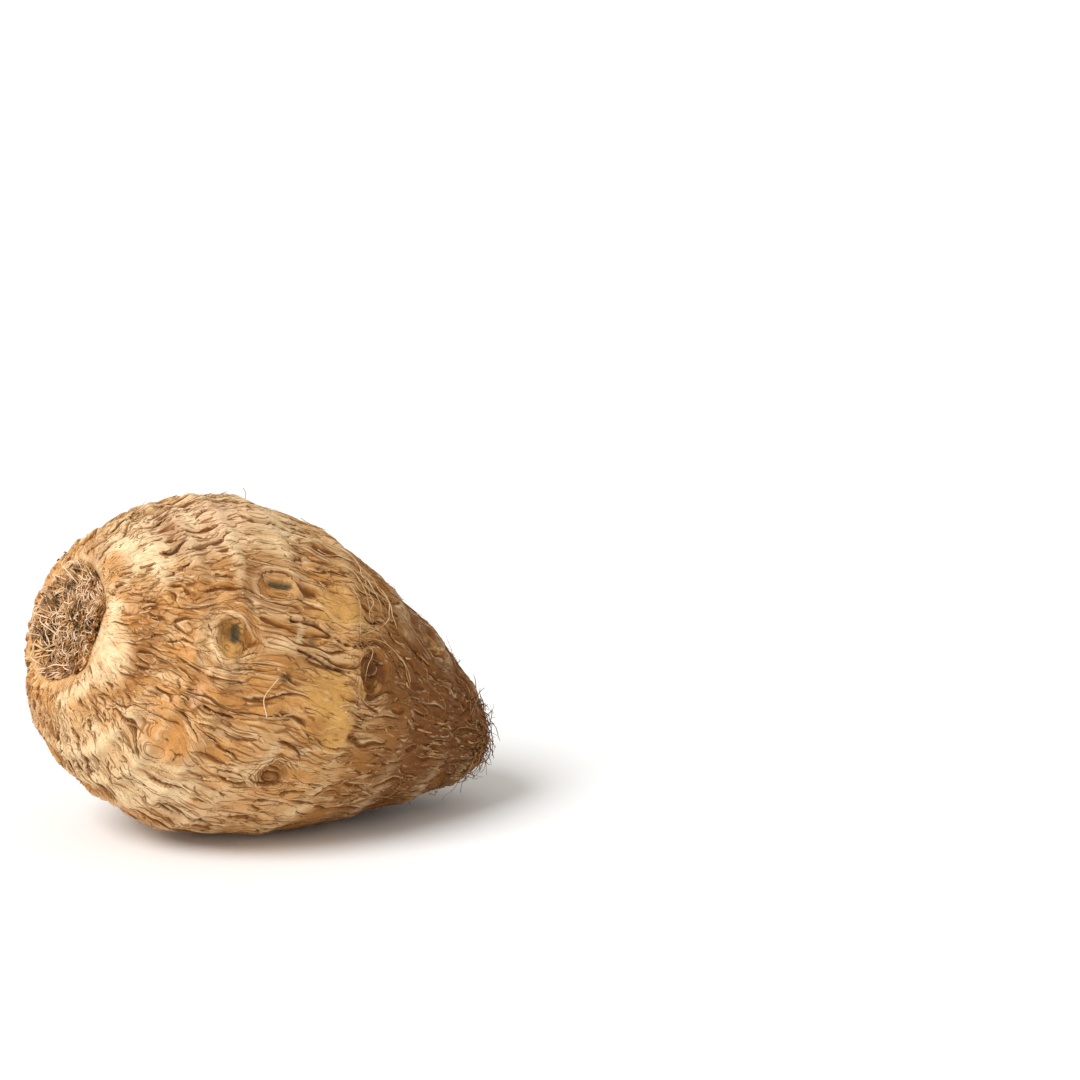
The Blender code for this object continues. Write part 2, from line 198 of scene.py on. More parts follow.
# Streaks: how the grain wavers, as (amount, size), then spacings, widths and depths. A streak is
# broken into dashes: it fades in as noise of the dash's size rises over the dash's two values.
WAVERS = ((1.5 * MM, 7.0 * MM), (0.9 * MM, 2.6 * MM))
WAVER_SQUEEZE = (1.0, 1.0, 2.0)
FINE_DRUM_POWER = 0.6
NUDGE_SHARE = 0.1
SHARP_SLOPES = (0.1, 0.8)
BOLD_SPACING = 2.6 * MM
BOLD_WIDTH = 0.75 * MM
BOLD_DEPTH = 0.5 * MM
BOLD_DASH = (-0.35, 0.05)
BOLD_DASH_SIZE = 1.9 * MM
FINE_SPACING = 1.5 * MM
FINE_WIDTH = 0.42 * MM
FINE_DEPTH = 0.22 * MM
FINE_DASH = (-0.40, 0.10)
FINE_DASH_SIZE = 1.5 * MM
STROKE_EDGE = (0.2, 1.2)
STROKE_LEAST = 0.02 * MM
SHORT_SPACING = 1.7 * MM
SHORT_WIDTH = 0.46 * MM
THREAD_SPACING = 0.95 * MM
THREAD_WIDTH = 0.26 * MM
MOST_DENSE = 1.2
DENSE_MIDDLE = 0.85
DENSE_SWING = 0.8
DENSE_SIZE = 11.0 * MM
DENSE_RANGE = (0.25, 1.35)
RING_CALM = 0.45
COLLAR_CALM = 0.95

# Other fine relief that only the skin has.
PLATE_STEP = 0.4 * MM
PLATE_EDGE = 0.35 * MM
PLATE_LEAST = 0.25
CRACK_WIDTH = 0.38 * MM
CRACK_DEPTH = 0.75 * MM
CRACK_FAR = 4.0 * MM
CRACK_LIP_SHARE = 0.3
CRACK_LIP_PLACE = 2.2
GRIT_SIZE = 0.9 * MM
GRIT_HEIGHT = 0.09 * MM
SWELL_SIZE = 5.5 * MM
SWELL_HEIGHT = 0.25 * MM
WOBBLE_SIZE = 3.1 * MM

# The crown's tangle and the collar's pale side. The waves of the tangle's edge are (degrees of
# station, how many round, phase).
TANGLE_NEAR_SIDE = 95.0
TANGLE_SPREAD_DEG = 2.5
TANGLE_WAVES = ((0.7, 3.0, 0.6), (0.5, 7.0, 2.0))
TANGLE_BARE_DEG = 8.0
TANGLE_BARE_SIDE = 98.0
TANGLE_BARE_SPREAD_DEG = 52.0
TANGLE_WOBBLE_DEG = 1.5
TANGLE_INNER_DEG = 2.0
TANGLE_OUTER_DEG = 1.5
TANGLE_SKIN_DEG = (1.0, 6.0)
TANGLE_OVER_DEG = 0.5
TURNED_BACK = 0.3
DISC_ROUGH = 0.9 * MM
BASE_ROUGH_SHARE = 0.7
STRAND_SIZE = 1.7 * MM
THIN_STRAND_SIZE = 0.8 * MM
THIN_STRAND_SHARE = 0.6
CREAM_SIDE = 97.0
CREAM_SPREAD_DEG = 32.0
CREAM_LEAST = 0.1
CREAM_LEAST_STRENGTH = 0.15
CREAM_INSET_DEG = 3.5
CREAM_REACH_DEG = 13.5
CREAM_WOBBLE_DEG = 2.5
CREAM_FADE_DEG = (3.5, 2.0)

# Cracks listed one by one, as (station, side) along each, and how many more are drawn.
CRACKS = (
    ((86, 61), (91.5, 60), (95.5, 61.5), (101.5, 63), (108, 58)),
    ((88.5, 70), (92.5, 71), (96.5, 73), (101.5, 73)),
    ((65.5, 97.5), (71.5, 98), (76.5, 97.5)),
)
MORE_CRACKS = 26
CRACK_STEPS = 30

# Long pale root fibres listed one by one, as (station, side, millimetres above the skin).
LOOPS = (
    ((90, 26, 0.2), (95, 33, 1.0), (102.5, 33, 1.4), (108, 32, 1.8), (112, 39, 1.8), (110, 49, 1.2),
     (103.5, 58, 0.3)),
    ((92.5, 24, 0.2), (100, 22.5, 1.2), (104.5, 28, 1.6), (108, 36, 1.4), (111, 41, 0.4)),
    ((103.5, 58, 0.3), (110.5, 56, 1.0), (115.5, 61, 1.2), (119, 67.5, 0.3)),
    ((96, 20, 0.2), (101, 27, 0.9), (107, 27, 1.3), (113, 33, 1.0), (116, 44, 0.3)),
    ((88, 30, 0.2), (93, 28, 0.7), (99, 30, 0.6), (105, 36, 0.9), (107, 45, 0.3)),
    ((85.5, 94, 0.1), (83.8, 88, 0.35), (85.5, 81, 0.1)),
    ((88, 356, -0.3), (88.1, 355.6, 0.7), (88.1, 355.0, 1.7), (87.7, 354.2, 2.4)),
)

# Patches: colour, strength, share of the streaks kept, place, and half sizes in millimetres.
Patch = namedtuple("Patch", "colour strength kept station side half_along half_around")
PATCHES = (
    Patch(GOLD, 1.00, 0.02, 97.0, 82.0, 6.2, 5.8),
    Patch(GOLD, 1.00, 0.04, 102.0, 94.0, 4.0, 6.5),
    Patch(GOLD, 0.70, 0.12, 98.5, 50.0, 8.5, 4.8),
    Patch(ORANGE, 0.80, 0.15, 59.5, 117.0, 5.2, 6.0),
    Patch(BROWN, 0.55, 1.60, 56.5, 128.0, 3.0, 3.0),
    Patch(ORANGE, 0.70, 1.20, 35.0, 150.0, 4.4, 8.0),
    Patch(CREAM, 0.90, 0.85, 66.0, 10.0, 26.0, 16.0),
    Patch(PINK, 0.70, 0.90, 63.0, 15.0, 15.0, 11.0),
    Patch(PINK, 0.60, 0.60, 62.0, 95.0, 1.6, 3.2),
    Patch(PINK, 0.50, 0.80, 48.0, 111.0, 2.4, 2.6),
    Patch(CREAM, 0.75, 0.25, 76.5, 134.0, 2.2, 6.0),
    Patch(CREAM, 0.60, 0.30, 90.5, 108.0, 1.6, 4.0),
    Patch(CREAM, 0.80, 0.20, 43.0, 32.0, 3.2, 9.0),
    Patch(CREAM, 0.90, 0.12, 33.5, 18.0, 3.4, 7.5),
    Patch(CREAM, 0.80, 0.20, 24.5, 62.0, 2.2, 2.6),
    Patch(PINK, 0.60, 0.70, 33.0, 58.0, 3.0, 3.0),
    Patch(CREAM, 0.75, 0.25, 60.0, 12.0, 1.8, 5.0),
    Patch(CREAM, 0.60, 0.30, 71.0, 38.0, 1.6, 8.0),
    Patch(CREAM, 0.65, 0.35, 44.0, 146.0, 1.6, 8.0),
    Patch(CREAM, 0.60, 0.40, 66.0, 152.0, 2.2, 6.0),
    Patch(CREAM, 0.65, 0.80, 52.0, 152.0, 15.0, 15.0),
    # Partly browner skin and partly painted shade, in the valley beside the collar's pale side.
    Patch(BROWN, 0.75, 1.35, 38.0, 81.0, 3.8, 12.0),
    Patch(BROWN, 0.55, 1.40, 55.5, 58.0, 4.2, 8.0),
    Patch(ORANGE, 0.75, 0.70, 25.5, 25.0, 3.4, 5.0),
    Patch(BROWN, 0.50, 1.30, 51.0, 22.0, 2.4, 8.0),
    # Painted shade: the hollow beside the bud at station 108.5 is darkened.
    Patch(UMBER, 0.50, 1.20, 116.5, 63.0, 7.5, 11.0),
    Patch(BROWN, 0.40, 1.20, 73.0, 92.0, 5.0, 6.0),
    Patch(CREAM, 0.30, 1.00, 86.0, 140.0, 18.0, 12.0),
    Patch(CREAM, 0.85, 0.30, 23.5, 140.0, 1.6, 7.0),
    Patch(UMBER, 1.00, 0.50, 87.0, 80.0, 1.5, 1.3),
    Patch(CREAM, 0.80, 0.20, 88.6, 64.5, 1.2, 1.9),
    Patch(OLIVE, 0.80, 0.40, 91.5, 65.5, 1.1, 1.3),
)
PATCH_EDGE = (0.5, 1.3)

# Colours that come in along the corm: colour, from and to which station, and how strongly. The brown
# and umber towards the base are partly the base's own darker skin and partly painted shade.
TINTS_AND_SHADE_ALONG = ((GOLD, 70.0, 130.0, 0.35), (BROWN, 98.0, 126.0, 0.85), (UMBER, 106.0, 136.0, 0.75))
WIDE_TINT_SIZE = 17.0 * MM
FINE_TINT_SIZE = 3.4 * MM
SMALL_TINT_SIZE = 1.5 * MM
RING_CREAM = 0.4
RING_PLAIN_SIDE = 75.0
# Painted shadow in the crown's disc under the collar's rim: the side where it is darkest, how far
# round it spreads, and the stations over which it comes in.
RIM_SHADOW_SIDE = 95.0
RIM_SHADOW_SPREAD_DEG = 50.0
RIM_SHADOW_STATIONS = (9.0, 14.0)

# The skin's masks: their edges as (from, to). Streaks are in millimetres and noise runs from 0 to
# 1. A colour mix takes its share and its two colours at MIX_INPUTS.
BOLD_MASK = (0.05, 1.2)
THIN_MASK = (0.0, 1.3)
MASK_LEAST_MM = 0.002
SHADED_WIDTHS = (0.04, 0.24)
SHADE_RISE = (-0.1, 0.1)
SHADE_FALL = (0.2, 1.3)
# Edges of the painted highlight on the ridge at the far side of each bold streak.
LIT_RIDGE_RISE = (-1.5, -0.7)
LIT_RIDGE_FALL = (-0.6, -0.3)
WRINKLE_EDGE = (0.2, 0.9)
WRINKLE_GAPS = (0.40, 0.60)
PALE_SPOTS = (0.56, 0.70)
DARK_SPOTS = (0.40, 0.30)
CRACK_EDGE = (0.55, 1.25)
LINE_DASH = (0.40, 0.58)
LINE_SLOPES = (0.004, 0.02)
LINE_SLOPE_LEAST = 0.002
LINE_MOST_DENSE = 1.1
MIX_INPUTS = (0, 6, 7)
MIX_OUTPUT = 2
SPECK_COLOURS = ((0.60, 0.56, 0.50), (1.36, 1.38, 1.38))
SPECK_SHARE = 0.8
BUMP_STRENGTH = 0.6
BUMP_DISTANCE = 0.3 * MM
SKIN_GLOSS_EDGE = (0.3, 1.4)
SKIN_ROUGHNESS = (0.6, 0.9)
SKIN_SPECULAR = 0.12
FIBRE_ROUGHNESS = 0.75
FIBRE_SPECULAR = 0.15

# Loose fibres: how long in millimetres, which way from the corm's length (middle, spread) in
# radians, how far they bend, how thick in millimetres, how many sides and how flat.
Strand = namedtuple("Strand", "lengths heading bend radii sides flat", defaults=(3, 1.0))
FLAKE = Strand((1.6, 4.8), (0.0, 0.22), 0.5, (0.16, 0.42), sides=4, flat=0.22)
HAIR = Strand((1.6, 5.0), (0.0, 0.35), 0.8, (0.03, 0.06))
WIRE = Strand((7.0, 24.0), (0.0, 0.6), 2.0, (0.06, 0.12), sides=4)
TUFT = Strand((3.0, 12.0), (math.pi, 1.0), 1.6, (0.07, 0.17))
FIBRE_STATIONS = (0.5, 179.5)
FIBRE_TAPER = 0.6
DULL_STATIONS = (100.0, 130.0)

# Fibres, linear colours: (dark, middle, pale) and how dark the painted shade in the hollows between
# them is.
ROOT_FIBRE = (UMBER, (0.36, 0.20, 0.085), (0.66, 0.48, 0.29))
PALE_FIBRE = ((0.42, 0.24, 0.10), (0.60, 0.40, 0.20), (0.74, 0.55, 0.33))
STRING_FIBRE = (BROWN, (0.52, 0.30, 0.13), (0.86, 0.63, 0.44), 0.7)
MAT_FIBRE = (UMBER, (0.50, 0.26, 0.09), (0.70, 0.45, 0.22), 0.85)
PAPER = ((0.30, 0.14, 0.045), (0.52, 0.29, 0.11), (0.64, 0.42, 0.21))

# Loose fibres stay above the surface and close to the solid's box.
BOX_MARGIN = 0.022
LEAST_CLEARANCE = 0.15 * MM

# The view and the light. A light is (name, the way it lies, strength, spread in degrees, colour).
CAMERA_AZIMUTH_DEG = -21.4
CAMERA_ELEVATION_DEG = 12.0
CAMERA_DISTANCE = 0.8
CAMERA_AIM = (73.17 * MM, -9.66 * MM, 22.72 * MM)
SENSOR_WIDTH_MM = 36.0
LENS_MM = 124.0
LIGHTS = (
    ("key", (-0.70, -0.30, 0.80), 2.7, 30.0, (0.97, 1.0, 1.03)),
    ("fill", (-1.0, -0.35, 0.05), 0.7, 60.0, (1.0, 0.98, 0.95)),
)
WORLD_COLOUR = (1.0, 0.95, 0.89)
WORLD_STRENGTH = 0.63
FLOOR_HALF = 8.0
FLOOR_GREY = 0.92
FLOOR_ROUGHNESS = 0.9


def smoothstep(low, high, value):
    """0 below low, 1 above high, and smooth between them."""
    share = np.clip((value - low) / (high - low), 0.0, 1.0)
    return share * share * (3.0 - 2.0 * share)


def bump(distance, width):
    """A bell of height 1 at no distance, gone by about two widths."""
    return np.exp(-((distance / width) ** 2))


def stack(x, y, z):
    """Points from their three coordinates."""
    return np.stack(np.broadcast_arrays(x, y, z), -1)


def unit(vectors):
    """The vectors at length 1."""
    return vectors / (np.linalg.norm(vectors, axis=-1, keepdims=True) + 1e-12)


def crown_pole():
    """The way that the middle of the crown's scar faces."""
    tilt = math.radians(CROWN_TILT_DEG)
    turn = math.radians(CROWN_TURN_DEG)
    return np.array(
        (-math.cos(tilt) * math.cos(turn), -math.cos(tilt) * math.sin(turn), math.sin(tilt))
    )


def form(station, side):
    """The plain form's points at these angles, in its own frame."""
    theta = np.radians(station)
    phi = np.radians(side)
    x = -np.cos(theta)
    y = -np.sin(theta) * np.sin(phi)
    z = np.sin(theta) * np.cos(phi)
    fade = (1.0 + np.cos(theta)) / 2.0
    tilt = np.radians(CROWN_TILT_DEG) * fade
    x, z = x * np.cos(tilt) + z * np.sin(tilt), z * np.cos(tilt) - x * np.sin(tilt)
    turn = np.radians(CROWN_TURN_DEG) * fade
    x, y = x * np.cos(turn) - y * np.sin(turn), x * np.sin(turn) + y * np.cos(turn)
    along = -np.clip(x, -1.0, 1.0)
    share = np.abs(along)
    crown_girth = (1.0 - share**CROWN_FULLNESS) ** (1.0 / CROWN_SHOULDER)
    base_girth = np.sqrt(1.0 - share**BASE_FULLNESS) * (1.0 - BASE_TAPER * share * share)
    girth = np.where(along > 0.0, crown_girth, base_girth)
    reach = np.where(along > 0.0, -CROWN_LENGTH * along, -BASE_LENGTH * along)
    around = np.hypot(y, z) + 1e-12
    droop = BASE_DROOP * np.maximum(0.0, reach / BASE_LENGTH) ** 2
    points = stack(reach, y / around * girth * HALF_WIDTH, z / around * girth * HALF_HEIGHT - droop)
    press = CROWN_PRESS * bump(station, CROWN_PRESS_DEG)
    return points - crown_pole() * np.asarray(press)[..., None]


def facing(station, side):
    """The plain form's outward directions at these angles."""
    step = 0.5
    station = np.clip(station, 2.0 * step, 180.0 - 2.0 * step)
    along = form(station + step, side) - form(station - step, side)
    around = form(station, side + step) - form(station, side - step)
    return -unit(np.cross(along, around))


def lay_down(vectors):
    """Turns vectors from the form's own frame to the way that the corm lies."""
    pitch = math.radians(REST_PITCH_DEG)
    x, y, z = vectors[..., 0], vectors[..., 1], vectors[..., 2]
    return stack(
        x * math.cos(pitch) + z * math.sin(pitch), y, z * math.cos(pitch) - x * math.sin(pitch)
    )


DEGREES = np.arange(181.0)
TOP_LINE = form(DEGREES, 0.0 * DEGREES)
ARCS = np.concatenate(([0.0], np.cumsum(np.linalg.norm(np.diff(TOP_LINE, axis=0), axis=1))))
GIRTHS = np.linalg.norm(TOP_LINE - form(DEGREES, 180.0 + 0.0 * DEGREES), axis=1) / 2.0
GIRTHS = np.maximum(LEAST_GIRTH, GIRTHS)
FORM_FLOOR = lay_down(form(DEGREES, 180.0 + 0.0 * DEGREES))[:, 2].min()


def arc(station):
    """Length from the crown's middle to these stations."""
    return np.interp(station, DEGREES, ARCS)


def girth_radius(station):
    """The form's radius there, for turning an angle round the corm into a length."""
    return np.interp(station, DEGREES, GIRTHS)


def walk(station, side, along, around):
    """The angles of the places that lie these lengths along and round from a start."""
    reached = np.interp(arc(station) + along, ARCS, DEGREES)
    return reached, side + np.degrees(around / girth_radius(reached))


def turned_from(side, middle):
    """How far these sides are turned from a middle one, from -180 to 180 degrees."""
    return (side - middle + 180.0) % 360.0 - 180.0


def seen_from(station, side, place):
    """Where points lie seen from a bud or patch: (around, along), as shares of its half sizes."""
    around = np.radians(turned_from(side, place.side)) * girth_radius(station)
    along = arc(station) - arc(place.station)
    return around / (place.half_around * MM), along / (place.half_along * MM)


def noise_at(points, cell, seed):
    """Smooth noise, from about -1 to 1, whose cells have this size."""
    places = points.reshape(-1, 3) / cell + seed * SEED_STEP
    values = np.fromiter(map(noise.noise, places.tolist()), float, len(places))
    return values.reshape(points.shape[:-1])


def grain(station, side, drum, runs_inside=False):
    """Points on a drum whose length is squeezed, so that noise read there runs along the corm
    and parts round each bud as wood grain parts round a knot. It may run on inside the buds."""
    turn = np.radians(side)
    for bud in BUDS:
        around, along = seen_from(station, side, bud)
        square = around * around + along * along
        parted = 1.0 / np.maximum(1.0, square)
        if runs_inside:
            parted = parted * np.minimum(1.0, square)
        turn = turn - around * (bud.half_around * MM) / girth_radius(station) * parted
    return stack(drum * np.cos(turn), drum * np.sin(turn), arc(station) / FURROW_STRETCH)


def fine_grain(station, side):
    """The grain for fine streaks, which keep their width where the corm narrows, and waver."""
    drum = HALF_WIDTH * (girth_radius(station) / HALF_WIDTH) ** FINE_DRUM_POWER
    flow = grain(station, side, drum, runs_inside=True)
    squeezed = flow * WAVER_SQUEEZE
    for index, (amount, size) in enumerate(WAVERS):
        sway_y = noise_at(squeezed, size, seed=1 + 2 * index)
        sway_z = noise_at(squeezed, size, seed=2 + 2 * index)
        flow = flow + amount * stack(sway_y, sway_z, 0.0)
    return flow


def between_scars(station):
    """1 on the body, 0 on the crown's scar and on the base's."""
    inner = smoothstep(COLLAR_DEG, COLLAR_DEG + FURROW_FADE_DEG, station)
    return inner * (1.0 - smoothstep(BASE_SCAR_DEG - FURROW_FADE_DEG, BASE_SCAR_DEG, station))


def streak_offset(flow, spacing, seed):
    """(signed distance across the grain to the nearest streak's middle, how sharply it runs)."""
    across = unit(stack(-flow[..., 1], flow[..., 0], 0.0))
    nudge = NUDGE_SHARE * spacing
    before = noise_at(flow - nudge * across, spacing, seed)
    after = noise_at(flow + nudge * across, spacing, seed)
    slope = np.abs(after - before) / (2.0 * nudge)
    offset = noise_at(flow, spacing, seed) / (slope + 1.0)
    return np.clip(offset, -spacing, spacing), smoothstep(*SHARP_SLOPES, slope * spacing)


def scar_rings(station, side):
    """(height, how near a leaf scar's lip)."""
    turn = np.radians(side)
    place = stack(WANDER_ROUND * np.cos(turn), WANDER_ROUND * np.sin(turn), station / WANDER_ALONG_DEG)
    seen = station + SCAR_WANDER_DEG * noise_at(place, 1.0, seed=0)
    height = 0.0
    near = 0.0
    for ring in SCAR_STATIONS_DEG:
        beyond = seen - ring
        lip = bump(beyond, SCAR_WIDTH_DEG)
        valley = bump(beyond - SCAR_VALLEY_DEG, SCAR_VALLEY_WIDTH_DEG)
        height = height + lip - SCAR_VALLEY_SHARE * valley
        near = np.maximum(near, lip)
    return SCAR_HEIGHT * height, near


def bud_height(station, side):
    """The height of the buds' lips, pits and nubs."""
    height = np.zeros_like(station)
    for bud in BUDS:
        distance = np.hypot(*seen_from(station, side, bud))
        shape = BUD_LIP * bump(distance - BUD_LIP_PLACE, BUD_LIP_WIDTH)
        shape -= BUD_PIT * (1.0 - smoothstep(BUD_FLOOR, BUD_BRIM, distance))
        shape += BUD_NUB * bump(distance, BUD_NUB_WIDTH)
        height += np.where(distance < BUD_REACH, bud.boldness * shape, 0.0)
    return height


def bud_marks(station, side, wobble):
    """The buds' marks by name: "knot" is the distance to the nearest bud, "floor" its colour, and
    the others are 1 where the mark is strongest and 0 where it isn't."""
    marks = {"knot": np.full_like(station, KNOT_FAR)}
    marks["floor"] = np.ones(station.shape + (3,)) * BROWN
    for bud in BUDS:
        around, along = seen_from(station, side, bud)
        distance = np.hypot(around, along) * (1.0 + BUD_WOBBLE * wobble)
        near = distance < marks["knot"]
        marks["knot"] = np.where(near, distance, marks["knot"])
        marks["floor"][near] = bud.floor
        spread = smoothstep(*WRINKLES_START, distance) * (1.0 - smoothstep(*WRINKLES_END, distance))
        inside = 1.0 - smoothstep(*INSIDE_EDGE, distance)
        inside = inside * smoothstep(*INSIDE_BOLDNESS, bud.boldness)
        low_side = 0.5 + 0.5 * (around - along) / (distance + 0.1)
        rim = sum(share * bump(distance - place, width) for place, width, share in RIMS)
        bare_rim = bud.rim * bump(distance - BARE_RIM_PLACE, BARE_RIM_WIDTH) * low_side
        up = (around + SLIT_SHIFT_AROUND) * bud.half_around / bud.slit_around
        across = (along - SLIT_SHIFT_ALONG) * bud.half_along / bud.slit_along
        gap = np.hypot(up, across) * (1.0 + SLIT_WOBBLE * wobble)
        lid = bump(np.hypot(up + LID_RISE, across) - LID_PLACE, LID_WIDTH) * (up < LID_START)
        has_lid = bud.slit_along > bud.slit_around
        found = {
            "wrinkled": bud.wrinkled * spread,
            "inside": inside,
            "smooth": np.maximum(inside * (1.0 - INSIDE_STREAKS * bud.wrinkled), bare_rim),
            "rim": bud.rim * rim * low_side,
            "slit": 1.0 - smoothstep(*SLIT_EDGE, gap),
            "lid": bud.rim * lid * has_lid,
            "lip": bud.boldness * bump(distance - BUD_LIP_PLACE, BUD_LIP_WIDTH),
            "nub": bud.boldness * bump(distance, BUD_NUB_WIDTH),
        }
        for name, strength in found.items():
            marks[name] = np.maximum(marks.get(name, 0.0), strength)
    return marks


def crown_scar(station):
    """(height, disc) of the crown's scar with its collar."""
    disc = 1.0 - smoothstep(DISC_DEG - DISC_WALL_DEG, DISC_DEG + DISC_WALL_DEG, station)
    return COLLAR_HEIGHT * bump(station - COLLAR_DEG, COLLAR_WIDTH_DEG) - DISC_DEPTH * disc, disc


def tangle_edge(side):
    """The uneven station where the crown's tangle ends: further in by the pale collar, and further
    out on the other side."""
    turn = np.radians(side - TANGLE_NEAR_SIDE)
    ragged = sum(height * np.sin(count * turn + phase) for height, count, phase in TANGLE_WAVES)
    bare = TANGLE_BARE_DEG * bump(turned_from(side, TANGLE_BARE_SIDE), TANGLE_BARE_SPREAD_DEG)
    return DISC_DEG + TANGLE_SPREAD_DEG * (0.5 - 0.5 * np.cos(turn)) + ragged - bare


def skin_share(station, side):
    """1 on the skin, 0 in the tangles of the crown and of the base."""
    edge = tangle_edge(side)
    inner = smoothstep(edge + TANGLE_SKIN_DEG[0], edge + TANGLE_SKIN_DEG[1], station)
    return inner * (1.0 - smoothstep(BASE_SCAR_DEG - FURROW_FADE_DEG, BASE_SCAR_DEG, station))


def base_scar(station):
    """(height, scar) of the dish at the base."""
    wall = smoothstep(BASE_SCAR_DEG - BASE_SCAR_WALL_DEG, BASE_SCAR_DEG + BASE_SCAR_WALL_DEG, station)
    return -BASE_SCAR_DEPTH * wall, wall


def belly_strength(plain):
    """How much of the relief is left: little where the corm rests."""
    height = lay_down(plain)[..., 2] - FORM_FLOOR
    return BELLY_CALM + (1.0 - BELLY_CALM) * smoothstep(0.0, BELLY_FADE, height)


def solid_relief(station, side, plain):
    """How far the solid's surface stands out from the plain form."""
    lumps = LUMP_HEIGHT * noise_at(plain, LUMP_SIZE, seed=0)
    line = np.abs(noise_at(grain(station, side, FURROW_DRUM), FURROW_SPACING, seed=0))
    furrows = -FURROW_DEPTH * (1.0 - smoothstep(0.0, FURROW_SHARE, line)) * between_scars(station)
    rough = lumps + furrows + scar_rings(station, side)[0] + bud_height(station, side)
    return belly_strength(plain) * rough + crown_scar(station)[0] + base_scar(station)[0]


def patch_near(station, side, patch):
    """1 in the patch, falling to 0 outside it."""
    return 1.0 - smoothstep(*PATCH_EDGE, np.hypot(*seen_from(station, side, patch)))


def streak_density(station, side, plain, ring, smooth, creamy):
    """How thickly the dark streaks lie, 0 on smooth patches."""
    dense = DENSE_MIDDLE + DENSE_SWING * noise_at(plain, DENSE_SIZE, seed=9)
    dense = np.clip(dense, *DENSE_RANGE) * (1.0 - RING_CALM * ring)
    dense = dense * (1.0 - COLLAR_CALM * creamy)
    for patch in PATCHES:
        dense = dense * (1.0 + (patch.kept - 1.0) * patch_near(station, side, patch))
    return dense * (1.0 - smooth) * skin_share(station, side)


def smooth_route(points, count):
    """Points along a smooth curve through the given ones."""
    points = np.array(points, float)
    first = 2.0 * points[:1] - points[1:2]
    last = 2.0 * points[-1:] - points[-2:-1]
    points = np.concatenate((first, points, last))
    places = np.linspace(0.0, len(points) - 3.0 - 1e-9, count)
    start = places.astype(int)
    share = (places - start)[:, None]
    before, here, after, beyond = (points[start + offset] for offset in range(4))
    square = 2.0 * before - 5.0 * here + 4.0 * after - beyond
    cube = 3.0 * (here - after) + beyond - before
    return here + 0.5 * share * (after - before + share * (square + share * cube))


def crack_routes():
    """The listed cracks, and more that are drawn, as (station, side) points."""
    dice = np.random.default_rng(31)
    routes = [smooth_route(route, CRACK_STEPS) for route in CRACKS]
    for _ in range(MORE_CRACKS):
        station = dice.uniform(38.0, 140.0)
        side = dice.uniform(140.0, 410.0)
        share = np.linspace(0.0, 1.0, CRACK_STEPS)
        length = dice.uniform(5.0, 13.0) * MM
        slant = dice.normal(0.0, 0.22)
        bend = dice.uniform(0.3, 0.9) * MM * np.sin(2.0 * math.pi * share * dice.uniform(0.7, 1.5))
        stations, sides = walk(station, side, length * share, length * share * slant + bend)
        routes.append(np.stack((stations, sides), -1))
    return routes


def crack_distance(plain):
    """Distance to the nearest crack, in metres."""
    nearest = np.full(plain.shape[:-1], CRACK_FAR)
    for route in crack_routes():
        line = form(route[:, 0], route[:, 1])
        middle = line.mean(axis=0)
        span = np.linalg.norm(line - middle, axis=1).max() + CRACK_FAR
        close = np.nonzero(np.linalg.norm(plain - middle, axis=-1) < span)[0]
        for point in line:
            nearest[close] = np.minimum(nearest[close], np.linalg.norm(plain[close] - point, axis=-1))
    return nearest


def skin_fields(station, side):
    """Everything that is known of the skin at these angles, by name."""
    plain = form(station, side)
    flow = fine_grain(station, side)
    wobble = noise_at(plain, WOBBLE_SIZE, seed=12)
    fields = bud_marks(station, side, wobble)
    ring = scar_rings(station, side)[1]
    creamy = collar_share(station, side, wobble)
    dense = streak_density(station, side, plain, ring, fields["smooth"], creamy)
    most = np.minimum(MOST_DENSE, dense)
    bold, bold_sharp = streak_offset(flow, BOLD_SPACING, seed=3)
    bold_dash = smoothstep(*BOLD_DASH, noise_at(flow, BOLD_DASH_SIZE, seed=4))
    fine, fine_sharp = streak_offset(flow, FINE_SPACING, seed=5)
    fine_dash = smoothstep(*FINE_DASH, noise_at(flow, FINE_DASH_SIZE, seed=6))
    edge = tangle_edge(side) + TANGLE_WOBBLE_DEG * wobble
    thin = THIN_STRAND_SHARE * noise_at(plain, THIN_STRAND_SIZE, seed=8)
    fields.update(
        plain=plain,
        flow=flow,
        wobble=wobble,
        ring=ring,
        creamy=creamy,
        dense=dense,
        bold=bold,
        bold_width=BOLD_WIDTH * bold_dash * bold_sharp * most,
        fine=fine,
        fine_width=FINE_WIDTH * fine_dash * fine_sharp * most,
        disc=1.0 - smoothstep(edge - TANGLE_INNER_DEG, edge + TANGLE_OUTER_DEG, station),
        base=base_scar(station)[1],
        strands=noise_at(plain, STRAND_SIZE, seed=7) + thin,
    )
    return fields


def stroke(offset, width):
    """1 on the middle line of a streak, 0 past its edge."""
    return 1.0 - smoothstep(*STROKE_EDGE, np.abs(offset) / (width + STROKE_LEAST))


